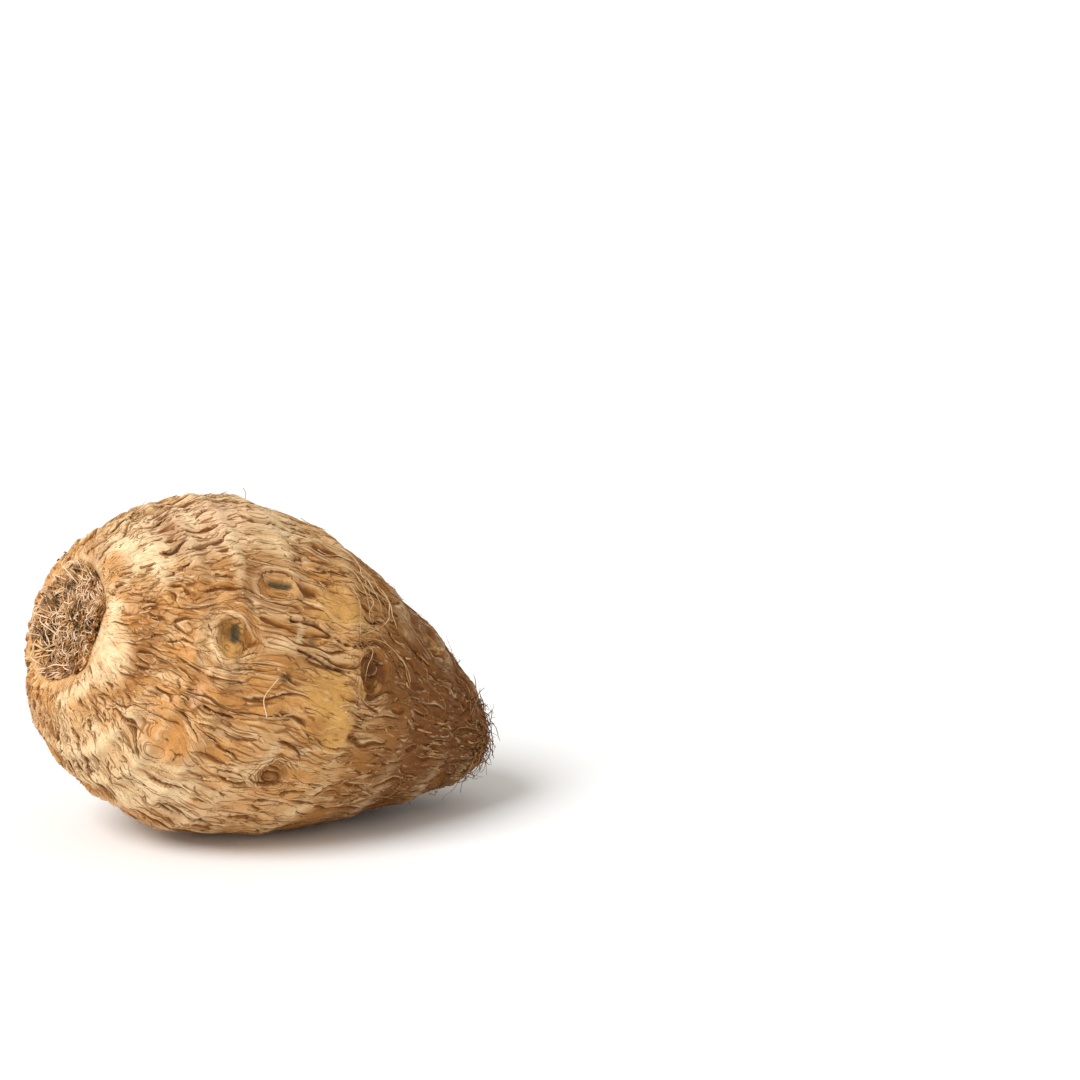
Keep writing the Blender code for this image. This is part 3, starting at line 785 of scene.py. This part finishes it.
def fine_relief(station, side, fields, crack):
    """The skin's own height, above the solid's."""
    body = skin_share(station, side)
    plates = PLATE_STEP * (smoothstep(-PLATE_EDGE, PLATE_EDGE, fields["bold"]) - 0.5)
    height = plates * body * (PLATE_LEAST + (1.0 - PLATE_LEAST) * np.minimum(fields["dense"], 1.0))
    height -= BOLD_DEPTH * stroke(fields["bold"], fields["bold_width"])
    height -= FINE_DEPTH * stroke(fields["fine"], fields["fine_width"])
    height -= CRACK_DEPTH * bump(crack, CRACK_WIDTH)
    height += CRACK_LIP_SHARE * CRACK_DEPTH * bump(crack - CRACK_LIP_PLACE * CRACK_WIDTH, CRACK_WIDTH)
    height += GRIT_HEIGHT * noise_at(fields["plain"], GRIT_SIZE, seed=6)
    height -= SLIT_DEPTH * fields["slit"] + PIT_MORE * fields["inside"]
    height -= LIP_LESS * fields["lip"] + NUB_LESS * fields["nub"]
    height += SWELL_HEIGHT * noise_at(fields["plain"], SWELL_SIZE, seed=13)
    rough = np.maximum(fields["disc"], BASE_ROUGH_SHARE * fields["base"])
    tangle = DISC_ROUGH * fields["strands"] * rough
    return belly_strength(fields["plain"]) * height + tangle


def blend(colours, colour, share):
    """Moves the colours this share of the way to one colour, or to one each."""
    return colours + (np.array(colour) - colours) * np.clip(share, 0.0, 1.0)[..., None]


def collar_share(station, side, wobble):
    """How creamy the collar is: wide and bright on the side towards -Y, narrow elsewhere."""
    presence = bump(turned_from(side, CREAM_SIDE), CREAM_SPREAD_DEG)
    presence = CREAM_LEAST + (1.0 - CREAM_LEAST) * presence
    outer = COLLAR_DEG - CREAM_INSET_DEG + CREAM_REACH_DEG * presence + CREAM_WOBBLE_DEG * wobble
    reached = 1.0 - smoothstep(outer - CREAM_FADE_DEG[0], outer + CREAM_FADE_DEG[1], station)
    return reached * (CREAM_LEAST_STRENGTH + (1.0 - CREAM_LEAST_STRENGTH) * presence)


def skin_tint(station, side, fields):
    """The skin's colour before its fine streaks."""
    wide = noise_at(fields["plain"], WIDE_TINT_SIZE, seed=10)
    fine = noise_at(fields["flow"], FINE_TINT_SIZE, seed=11)
    small = noise_at(fields["flow"], SMALL_TINT_SIZE, seed=14)
    presence = np.abs(np.sin(np.radians(side - RING_PLAIN_SIDE)))
    floor = blend(fields["floor"], GOLD, 0.7 * smoothstep(0.02, 0.4, fields["wobble"]))
    floor = blend(floor, UMBER, 0.6 * smoothstep(0.0, 0.4, -fine))
    scars = np.maximum(fields["disc"], fields["base"])
    # Painted shadow: the disc darkens towards black under the collar's rim, on the side towards -Y.
    shade = bump(turned_from(side, RIM_SHADOW_SIDE), RIM_SHADOW_SPREAD_DEG)
    shade = shade * smoothstep(*RIM_SHADOW_STATIONS, station)
    layers = [
        (BROWN, 0.17 - 0.75 * wide - 0.5 * small),
        (CREAM, 0.06 + 0.6 * fine + 0.4 * small),
    ]
    # The brown and umber towards the base: partly darker skin, partly painted shade.
    for colour, low, high, strength in TINTS_AND_SHADE_ALONG:
        layers.append((colour, smoothstep(low, high, station) * strength))
    layers.append((CREAM, RING_CREAM * fields["ring"] * smoothstep(0.25, 0.9, presence)))
    for patch in PATCHES:
        near = patch_near(station, side, patch)
        layers.append((patch.colour, patch.strength * near * (0.8 + 0.6 * fine)))
    layers += [
        (CREAM, fields["creamy"] * (0.66 + 0.5 * small)),
        (PINK, 0.35 * fields["creamy"] * smoothstep(-0.1, 0.4, fields["wobble"])),
        (floor, 0.88 * fields["inside"]),
        (CREAM, 0.8 * np.maximum(fields["rim"], fields["lid"])),
        (OLIVE, 0.95 * fields["slit"]),
        (UMBER, 0.92 * scars),
        (TAN, 0.6 * smoothstep(-0.05, 0.5, fields["strands"]) * scars),
        # Painted shadow under the collar's rim.
        (NIGHT, 0.75 * shade * fields["disc"]),
    ]
    colours = np.ones(station.shape + (3,)) * TAN
    for colour, share in layers:
        colours = blend(colours, colour, share)
    return colours


def form_origin():
    """Where the form's own frame lies in the frame, from the solid's box."""
    stations, sides = np.meshgrid(np.linspace(1.0, 179.0, 120), np.arange(0.0, 360.0, 3.0))
    station, side = stations.ravel(), sides.ravel()
    plain = form(station, side)
    height = solid_relief(station, side, plain)
    low = lay_down(plain + facing(station, side) * height[:, None]).min(axis=0)
    return np.array((CAD_LOW[0] - low[0], CAD_LOW[1] - low[1], -low[2] - REST_SPOT_DEPTH))


FORM_ORIGIN = form_origin()


def place_in_frame(plain, outward, lift):
    """Points this far out from the plain form, in the frame."""
    return lay_down(plain + outward * lift[..., None]) + FORM_ORIGIN


def keep_in_box(points):
    """Keeps loose fibres above the surface and close to the solid's box."""
    margin = BOX_MARGIN * (CAD_HIGH - CAD_LOW)
    low = CAD_LOW - margin
    low[2] = LEAST_CLEARANCE
    return np.clip(points, low, CAD_HIGH + margin)


def new_object(name, points, faces):
    """A mesh object, shaded smooth."""
    data = bpy.data.meshes.new(name)
    data.from_pydata(points.tolist(), [], faces)
    data.shade_smooth()
    thing = bpy.data.objects.new(name, data)
    bpy.context.scene.collection.objects.link(thing)
    return thing


def give(thing, name, kind, values):
    """Stores a value for each point of the mesh."""
    field = {"FLOAT": "value", "FLOAT_VECTOR": "vector", "FLOAT_COLOR": "color"}[kind]
    attribute = thing.data.attributes.new(name, kind, "POINT")
    attribute.data.foreach_set(field, np.ascontiguousarray(values, np.float32).ravel())


def grid_faces():
    """Faces between the rows of points, and round the two end points."""
    faces = []
    for row in range(ROWS - 1):
        start = row * PLACES_AROUND
        for place in range(PLACES_AROUND):
            after = (place + 1) % PLACES_AROUND
            below = start + PLACES_AROUND
            faces.append((start + place, start + after, below + after, below + place))
    crown = ROWS * PLACES_AROUND
    last = (ROWS - 1) * PLACES_AROUND
    for place in range(PLACES_AROUND):
        after = (place + 1) % PLACES_AROUND
        faces.append((crown, after, place))
        faces.append((crown + 1, last + place, last + after))
    return faces


def make_skin():
    """The skin: rows of points from the crown's middle to the base's."""
    lengths = np.linspace(0.0, ARCS[-1], ROWS + 2)[1:-1]
    stations = np.interp(lengths, ARCS, DEGREES)
    sides = np.arange(PLACES_AROUND) * 360.0 / PLACES_AROUND
    station, side = (grid.ravel() for grid in np.meshgrid(stations, sides, indexing="ij"))
    station = np.concatenate((station, END_STATIONS))
    side = np.concatenate((side, (0.0, 0.0)))
    fields = skin_fields(station, side)
    crack = crack_distance(fields["plain"])
    height = solid_relief(station, side, fields["plain"]) + fine_relief(station, side, fields, crack)
    points = place_in_frame(fields["plain"], facing(station, side), height)
    points[:, 2] = np.maximum(points[:, 2], 0.0)
    skin = new_object("skin", points, grid_faces())
    tint = skin_tint(station, side, fields)
    give(skin, "tint", "FLOAT_COLOR", np.concatenate((tint, np.ones((len(tint), 1))), 1))
    give(skin, "flow", "FLOAT_VECTOR", fields["flow"])
    for name in ("bold", "bold_width", "fine", "fine_width"):
        give(skin, name, "FLOAT", fields[name] / MM)
    for name in ("dense", "knot", "wrinkled"):
        give(skin, name, "FLOAT", fields[name])
    give(skin, "crack", "FLOAT", crack / CRACK_WIDTH)
    give(skin, "fibrous", "FLOAT", np.maximum(fields["disc"], fields["base"]))
    give(skin, "bare", "FLOAT", np.maximum(fields["smooth"], fields["slit"]))
    return skin


def tubes(name, paths, radii, sides, tones, flat, up):
    """Thin closed tubes along the paths, as one piece. Paths are (tube, point, xyz)."""
    count, length = radii.shape
    along = unit(np.gradient(paths, axis=1))
    across = unit(np.cross(along, up))
    out = np.cross(across, along)
    turn = 2.0 * math.pi * (np.arange(sides) + 0.5) / sides
    ring = np.cos(turn)[:, None] * across[:, :, None] + flat * np.sin(turn)[:, None] * out[:, :, None]
    points = (paths[:, :, None] + radii[..., None, None] * ring).reshape(-1, 3)
    tube, step, place = np.meshgrid(
        np.arange(count), np.arange(length - 1), np.arange(sides), indexing="ij"
    )
    here = (tube * length + step) * sides
    after = (place + 1) % sides
    walls = np.stack((here + place, here + after, here + sides + after, here + sides + place), -1)
    start = np.arange(count)[:, None] * length * sides + np.arange(sides)
    end = start + (length - 1) * sides
    faces = walls.reshape(-1, 4).tolist() + start[:, ::-1].tolist() + end.tolist()
    thing = new_object(name, points, faces)
    give(thing, "tone", "FLOAT", np.repeat(tones, length * sides))
    return thing


def surface_paths(station, side, lift):
    """Paths in the frame, this far above the skin. The angles are (tube, point)."""
    plain = form(station, side)
    outward = facing(station, side)
    height = solid_relief(station, side, plain) + lift
    return keep_in_box(place_in_frame(plain, outward, height)), lay_down(outward)


def curl(dice, count, steps, bend):
    """Headings along each fibre: a steady bend and a slow wave."""
    share = np.linspace(0.0, 1.0, steps)
    steady = dice.uniform(-bend, bend, (count, 1)) * share
    wave = dice.uniform(0.1, 0.5, (count, 1)) * bend
    phase = dice.uniform(0.0, 2.0 * math.pi, (count, 1))
    return steady + wave * np.sin(2.0 * math.pi * dice.uniform(0.6, 1.6, (count, 1)) * share + phase)


def fibres(name, dice, station, side, lift, strand):
    """Fibres that start at these angles, this far above the skin at each of their points."""
    count, steps = len(station), lift.shape[1]
    length = dice.uniform(*strand.lengths, count) * MM
    heading = dice.normal(*strand.heading, count)
    radius = dice.uniform(*strand.radii, count) * MM
    turned = heading[:, None] + curl(dice, count, steps, strand.bend)
    stride = (length / (steps - 1))[:, None]
    along = np.cumsum(stride * np.cos(turned), 1) - stride * np.cos(turned[:, :1])
    around = np.cumsum(stride * np.sin(turned), 1) - stride * np.sin(turned[:, :1])
    stations, turns = walk(station[:, None], side[:, None], along, around)
    paths, up = surface_paths(np.clip(stations, *FIBRE_STATIONS), turns, lift)
    taper = 1.0 - FIBRE_TAPER * np.linspace(0.0, 1.0, steps) ** 2
    tones = dice.uniform(0.0, 1.0, count) * (1.0 - 0.5 * smoothstep(*DULL_STATIONS, station))
    return tubes(name, paths, radius[:, None] * taper, strand.sides, tones, strand.flat, up)


def make_crown_layer(name, seed, count, low, top, least, most):
    """A layer of the crown's tangle, between two heights and two radii. Its fibres turn back where
    the tangle ends."""
    dice = np.random.default_rng(seed)
    steps = 9
    reach = arc(DISC_DEG) * np.sqrt(dice.uniform(0.0, 1.0, count))
    turn = dice.uniform(0.0, 2.0 * math.pi, count)
    heading = dice.uniform(-math.pi, math.pi, count)[:, None] + curl(dice, count, steps, 1.0)
    stride = (dice.uniform(2.0, 6.0, count) * MM / (steps - 1))[:, None]
    east = (reach * np.cos(turn))[:, None] + np.cumsum(stride * np.cos(heading), 1)
    north = (reach * np.sin(turn))[:, None] + np.cumsum(stride * np.sin(heading), 1)
    side = np.degrees(np.arctan2(north, east))
    edge = tangle_edge(side)
    spread = arc(edge) / arc(DISC_DEG)
    away = np.hypot(east, north) * spread
    limit = arc(edge + TANGLE_OVER_DEG)
    away = np.where(away > limit, limit - TURNED_BACK * (away - limit), away)
    station = np.interp(np.maximum(away, 0.1 * MM), ARCS, DEGREES)
    share = np.linspace(0.0, 1.0, steps)
    lift = low + dice.uniform(0.0, 1.0, (count, 1)) * (top - low) * np.sin(math.pi * share)
    paths, up = surface_paths(station, side, lift)
    radius = dice.uniform(least, most, count)[:, None] * (1.0 - 0.5 * share**2)
    far_side = 0.5 - 0.5 * np.cos(np.radians(side[:, 0] - TANGLE_NEAR_SIDE))
    tones = dice.uniform(0.0, 1.0, count) + 0.5 * far_side * away[:, 0] / limit[:, 0]
    return tubes(name, paths, radius, 4, tones, 1.0, up)


def scattered(dice, count, low, high, lean):
    """Angles all over the skin between two stations, clear of the buds."""
    station = low + (high - low) * dice.uniform(0.0, 1.0, 2 * count) ** lean
    side = dice.uniform(0.0, 360.0, 2 * count)
    clear = np.ones(2 * count, bool)
    for bud in BUDS:
        clear &= np.hypot(*seen_from(station, side, bud)) > BUD_CLEAR
    return station[clear][:count], side[clear][:count]


def make_flakes():
    """Papery strips whose ends lift from the skin."""
    dice = np.random.default_rng(25)
    count, steps = 800, 6
    station, side = scattered(dice, count, 28.0, 160.0, 1.0)
    share = np.linspace(0.0, 1.0, steps)
    rise = dice.uniform(0.05, 0.55, (count, 1)) ** 1.5 * MM
    lift = rise * np.abs(2.0 * share - dice.uniform(0.3, 1.4, (count, 1))) ** 1.5 + 0.02 * MM
    return fibres("flakes", dice, station, side, lift, FLAKE)


def make_fuzz():
    """Short fine hairs that lie on the skin."""
    dice = np.random.default_rng(22)
    count, steps = 1400, 6
    station, side = scattered(dice, count, 32.0, 170.0, 0.75)
    share = np.linspace(0.0, 1.0, steps)
    lift = dice.uniform(0.0, 0.7, (count, 1)) * MM * share + 0.05 * MM
    return fibres("fuzz", dice, station, side, lift, HAIR)


def make_wiry_fibres(name, seed, count, stations, sides):
    """Root fibres that cling to the skin, and start within these stations and sides."""
    dice = np.random.default_rng(seed)
    steps = 20
    station = dice.uniform(*stations, count)
    side = dice.uniform(*sides, count)
    share = np.linspace(0.0, 1.0, steps)
    lift = 0.1 * MM + dice.uniform(0.0, 1.3, (count, 1)) * MM * np.sin(math.pi * share) ** 2
    return fibres(name, dice, station, side, lift, WIRE)


def make_base_tuft():
    """The root fibres round the base."""
    dice = np.random.default_rng(24)
    count, steps = 200, 12
    station = 176.0 - 34.0 * dice.uniform(0.0, 1.0, count) ** 1.4
    side = dice.uniform(0.0, 360.0, count)
    share = np.linspace(0.0, 1.0, steps)
    lift = dice.uniform(0.1, 3.6, (count, 1)) * MM * share**1.3 - 0.2 * MM
    return fibres("base_tuft", dice, station, side, lift, TUFT)


def make_loops():
    """Long pale fibres that arch over the skin, listed one by one."""
    steps = 48
    curves = np.array([smooth_route(route, steps) for route in LOOPS])
    paths, up = surface_paths(curves[..., 0], curves[..., 1], curves[..., 2] * MM)
    dice = np.random.default_rng(26)
    radii = dice.uniform(0.11, 0.16, (len(LOOPS), 1)) * MM * np.linspace(1.0, 0.7, steps)
    return tubes("long_fibres", paths, radii, 5, dice.uniform(0.3, 1.0, len(LOOPS)), 1.0, up)


def nodes_of(material):
    """The material's node tree with its shader, ready for building."""
    material.use_nodes = True
    tree = material.node_tree
    return tree, tree.nodes["Principled BSDF"]


def put(tree, socket, value):
    """Links a socket to a value's node, or sets it."""
    if isinstance(value, bpy.types.NodeSocket):
        tree.links.new(value, socket)
    elif isinstance(value, tuple) and len(value) == 3 and len(socket.default_value) == 4:
        socket.default_value = (*value, 1.0)
    else:
        socket.default_value = value


def attribute(tree, name, output="Fac"):
    """An attribute's value."""
    made = tree.nodes.new("ShaderNodeAttribute")
    made.attribute_name = name
    return made.outputs[output]


def step(tree, value, low, high, to_low=0.0, to_high=1.0):
    """Maps a value smoothly from one range to another."""
    made = tree.nodes.new("ShaderNodeMapRange")
    made.interpolation_type = "SMOOTHSTEP"
    names = ("Value", "From Min", "From Max", "To Min", "To Max")
    for name, given in zip(names, (value, low, high, to_low, to_high)):
        put(tree, made.inputs[name], given)
    return made.outputs["Result"]


def maths(tree, operation, *values, kind="ShaderNodeMath"):
    """A sum, product or the like, of numbers or of vectors."""
    made = tree.nodes.new(kind)
    made.operation = operation
    for socket, value in zip(made.inputs, values):
        put(tree, socket, value)
    return made.outputs[0]


def times(tree, first, second):
    """A product."""
    return maths(tree, "MULTIPLY", first, second)


def add(tree, *values):
    """A sum."""
    total = values[0]
    for value in values[1:]:
        total = maths(tree, "ADD", total, value)
    return total


def mix(tree, share, first, second, how="MIX"):
    """Mixes two colours."""
    made = tree.nodes.new("ShaderNodeMix")
    made.data_type = "RGBA"
    made.blend_type = how
    for place, value in zip(MIX_INPUTS, (share, first, second)):
        put(tree, made.inputs[place], value)
    return made.outputs[MIX_OUTPUT]


def texture(tree, vector, cell, detail=2.0, rough=0.5):
    """A noise texture's value, with cells of this size."""
    made = tree.nodes.new("ShaderNodeTexNoise")
    values = {"Vector": vector, "Scale": 1.0 / cell, "Detail": detail, "Roughness": rough}
    for name, value in values.items():
        put(tree, made.inputs[name], value)
    return made.outputs["Fac"]


def stroke_mask(tree, value, width, inner, outer):
    """1 on a streak's middle line and 0 past its edge."""
    width = add(tree, width, MASK_LEAST_MM)
    ratio = maths(tree, "DIVIDE", maths(tree, "ABSOLUTE", value), width)
    return step(tree, ratio, inner, outer, 1.0, 0.0)


def streak_lines(tree, flow, dense, spacing, width, jitter):
    """Short dark streaks along the grain, this far apart and up to this wide."""
    vectors = "ShaderNodeVectorMath"
    nudge = (NUDGE_SHARE * spacing,) * 3
    across = maths(tree, "CROSS_PRODUCT", flow, (0.0, 0.0, -1.0), kind=vectors)
    across = maths(tree, "NORMALIZE", across, kind=vectors)
    nudged = maths(tree, "MULTIPLY_ADD", across, nudge, flow, kind=vectors)
    here = texture(tree, flow, spacing, detail=0.0)
    there = texture(tree, nudged, spacing, detail=0.0)
    slope = maths(tree, "ABSOLUTE", maths(tree, "SUBTRACT", there, here))
    offset = maths(tree, "SUBTRACT", here, 0.5)
    offset = maths(tree, "DIVIDE", offset, add(tree, slope, LINE_SLOPE_LEAST))
    offset = add(tree, times(tree, offset, NUDGE_SHARE * spacing / MM), times(tree, jitter, 0.4))
    dash = step(tree, texture(tree, flow, 0.9 * spacing, detail=1.0), *LINE_DASH)
    dash = times(tree, dash, step(tree, slope, *LINE_SLOPES))
    dash = times(tree, dash, maths(tree, "MINIMUM", dense, LINE_MOST_DENSE))
    return stroke_mask(tree, offset, times(tree, dash, width / MM), *THIN_MASK)


def skin_masks(tree, flow, jitter):
    """The skin's marks by name, 1 where a mark is strongest and 0 where it isn't."""
    covered = maths(tree, "SUBTRACT", 1.0, attribute(tree, "bare"))
    dense = attribute(tree, "dense")
    wide = attribute(tree, "bold_width")
    bold = add(tree, attribute(tree, "bold"), jitter)
    fine = add(tree, attribute(tree, "fine"), times(tree, jitter, 0.7))
    crack = add(tree, attribute(tree, "crack"), times(tree, jitter, 0.7))
    knot = add(tree, attribute(tree, "knot"), times(tree, jitter, 0.3))
    edged = times(tree, step(tree, wide, *SHADED_WIDTHS), covered)
    # Painted shade and painted highlight: a brown band on one side of each bold streak and a pale lit
    # ridge on its other side, so the plates look bevelled. The lit ridge is also raised a little in
    # the bump.
    shade = times(tree, step(tree, bold, *SHADE_RISE), step(tree, bold, *SHADE_FALL, 1.0, 0.0))
    lit_ridge = times(tree, step(tree, bold, *LIT_RIDGE_FALL, 1.0, 0.0), step(tree, bold, *LIT_RIDGE_RISE))
    rings = maths(tree, "SINE", times(tree, knot, 2.0 * math.pi / WRINKLE_SPACING))
    wrinkle = times(tree, step(tree, rings, *WRINKLE_EDGE), attribute(tree, "wrinkled"))
    gaps = step(tree, texture(tree, flow, 1.5 * MM), *WRINKLE_GAPS, 0.2, 1.0)
    mottle = texture(tree, flow, 1.1 * MM, detail=3.0, rough=0.6)
    return {
        "bold": stroke_mask(tree, bold, wide, *BOLD_MASK),
        "fine": stroke_mask(tree, fine, attribute(tree, "fine_width"), *THIN_MASK),
        "short": streak_lines(tree, flow, dense, SHORT_SPACING, SHORT_WIDTH, jitter),
        "thread": streak_lines(tree, flow, dense, THREAD_SPACING, THREAD_WIDTH, jitter),
        "shade": times(tree, shade, edged),
        "lit_ridge": times(tree, lit_ridge, edged),
        "wrinkle": times(tree, wrinkle, gaps),
        "crack": step(tree, crack, *CRACK_EDGE, 1.0, 0.0),
        "mottle": mottle,
        "pale spots": times(tree, step(tree, mottle, *PALE_SPOTS), covered),
        "dark spots": step(tree, mottle, *DARK_SPOTS),
    }


def skin_material():
    """Dry papery skin with dark streaks that follow the grain."""
    material = bpy.data.materials.new("taro_skin")
    tree, shader = nodes_of(material)
    flow = attribute(tree, "flow", "Vector")
    where = tree.nodes.new("ShaderNodeTexCoord").outputs["Object"]
    speck = texture(tree, where, 0.5 * MM, detail=3.0, rough=0.65)
    jitter = texture(tree, flow, 0.7 * MM, detail=2.0, rough=0.6)
    jitter = times(tree, maths(tree, "SUBTRACT", jitter, 0.5), 0.7)
    masks = skin_masks(tree, flow, jitter)

    colour = mix(tree, speck, *SPECK_COLOURS)
    colour = mix(tree, SPECK_SHARE, attribute(tree, "tint", "Color"), colour, "MULTIPLY")
    for name, strength, laid_over in (
        ("dark spots", 0.45, BROWN),
        ("pale spots", 0.35, CREAM),
        # Painted shade beside the bold streaks, and painted highlight on the ridges at their other
        # side.
        ("shade", 0.62, BROWN),
        ("lit_ridge", 0.45, CREAM),
        ("thread", 0.35, BROWN),
        ("short", 0.85, mix(tree, 0.15, BROWN, UMBER)),
        ("wrinkle", 0.75, mix(tree, 0.6, BROWN, UMBER)),
        ("fine", 0.8, mix(tree, 0.2, BROWN, UMBER)),
        ("bold", 0.95, mix(tree, 0.65, BROWN, UMBER)),
        ("crack", 0.9, mix(tree, 0.3, UMBER, NIGHT)),
    ):
        colour = mix(tree, times(tree, masks[name], strength), colour, laid_over)
    tree.links.new(colour, shader.inputs["Base Color"])

    thin = (times(tree, masks["fine"], 0.8), times(tree, masks["thread"], 0.4))
    deep = add(tree, masks["bold"], *thin, masks["short"], masks["wrinkle"])
    raised = add(tree, times(tree, masks["mottle"], 0.9), times(tree, speck, 0.35))
    raised = add(tree, raised, times(tree, masks["lit_ridge"], 0.3))
    relief = tree.nodes.new("ShaderNodeBump")
    put(tree, relief.inputs["Height"], maths(tree, "SUBTRACT", raised, deep))
    put(tree, relief.inputs["Strength"], BUMP_STRENGTH)
    put(tree, relief.inputs["Distance"], BUMP_DISTANCE)
    tree.links.new(relief.outputs["Normal"], shader.inputs["Normal"])
    gloss = step(tree, add(tree, speck, masks["bold"]), *SKIN_GLOSS_EDGE, *SKIN_ROUGHNESS)
    tangle = times(tree, attribute(tree, "fibrous"), 0.85)
    tree.links.new(maths(tree, "MAXIMUM", gloss, tangle), shader.inputs["Roughness"])
    shader.inputs["Specular IOR Level"].default_value = SKIN_SPECULAR
    return material


def fibre_material(name, dark, middle, pale, hollow_shade=0.0):
    """Dry fibre, each strand with its own tone. A tangle may have painted shade: patches of its
    strands darkened towards black, as in hollows.
    """
    material = bpy.data.materials.new(name)
    tree, shader = nodes_of(material)
    where = tree.nodes.new("ShaderNodeTexCoord").outputs["Object"]
    patchy = texture(tree, where, 2.0 * MM, detail=2.0)
    tone = add(tree, attribute(tree, "tone"), step(tree, patchy, 0.35, 0.65, -0.3, 0.3))
    colour = mix(tree, step(tree, tone, 0.1, 0.55), dark, middle)
    colour = mix(tree, step(tree, tone, 0.6, 1.0), colour, pale)
    # Painted shade: patches of the tangle darken towards black, as hollows between strands would.
    hollow_shade_mask = step(tree, texture(tree, where, 3.0 * MM, detail=2.0), 0.48, 0.64, 0.0, hollow_shade)
    hollow_shade_mask = times(tree, hollow_shade_mask, step(tree, tone, 0.6, 1.2, 1.0, 0.2))
    colour = mix(tree, hollow_shade_mask, colour, NIGHT)
    tree.links.new(colour, shader.inputs["Base Color"])
    shader.inputs["Roughness"].default_value = FIBRE_ROUGHNESS
    shader.inputs["Specular IOR Level"].default_value = FIBRE_SPECULAR
    return material


def make_floor():
    """A plain pale floor."""
    corners = np.array(((-1, -1, 0), (1, -1, 0), (1, 1, 0), (-1, 1, 0))) * FLOOR_HALF
    floor = new_object("floor", corners, [(0, 1, 2, 3)])
    material = bpy.data.materials.new("floor")
    _, shader = nodes_of(material)
    shader.inputs["Base Color"].default_value = (*(FLOOR_GREY,) * 3, 1.0)
    shader.inputs["Roughness"].default_value = FLOOR_ROUGHNESS
    floor.data.materials.append(material)
    floor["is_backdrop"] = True


def make_light(name, toward, strength, spread_deg, colour):
    """Soft even light from one side, as from a large panel."""
    lamp = bpy.data.lights.new(name, "SUN")
    lamp.angle = math.radians(spread_deg)
    lamp.energy = strength
    lamp.color = colour
    thing = bpy.data.objects.new(name, lamp)
    thing.rotation_euler = Vector(toward).to_track_quat("Z", "Y").to_euler()
    bpy.context.scene.collection.objects.link(thing)


def make_camera():
    """A long lens from the left and a little above."""
    azimuth = math.radians(CAMERA_AZIMUTH_DEG)
    elevation = math.radians(CAMERA_ELEVATION_DEG)
    level = math.cos(elevation)
    back = Vector((math.sin(azimuth) * level, -math.cos(azimuth) * level, math.sin(elevation)))
    target = Vector(FORM_ORIGIN + CAMERA_AIM)
    lens = bpy.data.cameras.new("camera")
    lens.sensor_width = SENSOR_WIDTH_MM
    lens.lens = LENS_MM
    camera = bpy.data.objects.new("camera", lens)
    camera.location = target + back * CAMERA_DISTANCE
    camera.rotation_euler = back.to_track_quat("Z", "Y").to_euler()
    bpy.context.scene.collection.objects.link(camera)
    bpy.context.scene.camera = camera


def make_world():
    """Pale surroundings, a little warm."""
    world = bpy.data.worlds.new("studio")
    world.use_nodes = True
    sky = world.node_tree.nodes["Background"]
    sky.inputs["Color"].default_value = (*WORLD_COLOUR, 1.0)
    sky.inputs["Strength"].default_value = WORLD_STRENGTH
    bpy.context.scene.world = world
    bpy.context.scene.view_settings.view_transform = "Standard"


make_camera()
make_world()
make_floor()
for light in LIGHTS:
    make_light(*light)

skin = make_skin()
skin.data.materials.append(skin_material())
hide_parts("taro_root")

root = fibre_material("root_fibre", *ROOT_FIBRE)
pale = fibre_material("pale_fibre", *PALE_FIBRE)
strings = fibre_material("crown_strings", *STRING_FIBRE)
mat = fibre_material("crown_mat", *MAT_FIBRE)
paper = fibre_material("papery_skin", *PAPER)
crown_mat = make_crown_layer(
    "crown_mat", seed=20, count=520, low=0.0, top=0.9 * MM, least=0.14 * MM, most=0.30 * MM
)
crown_strings = make_crown_layer(
    "crown_strings", seed=21, count=440, low=0.3 * MM, top=2.0 * MM, least=0.08 * MM, most=0.18 * MM
)
flakes = make_flakes()
fuzz = make_fuzz()
wiry = make_wiry_fibres("wiry_fibres", seed=23, count=30, stations=(105.0, 160.0), sides=(0.0, 360.0))
stray = make_wiry_fibres("stray_fibres", seed=27, count=11, stations=(92.0, 106.0), sides=(10.0, 44.0))
pieces = [skin]
for piece, material in (
    (crown_mat, mat),
    (crown_strings, strings),
    (flakes, paper),
    (fuzz, paper),
    (wiry, paper),
    (stray, pale),
    (make_base_tuft(), root),
    (make_loops(), pale),
):
    piece.data.materials.append(material)
    pieces.append(piece)
for piece in pieces:
    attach(piece, "root")
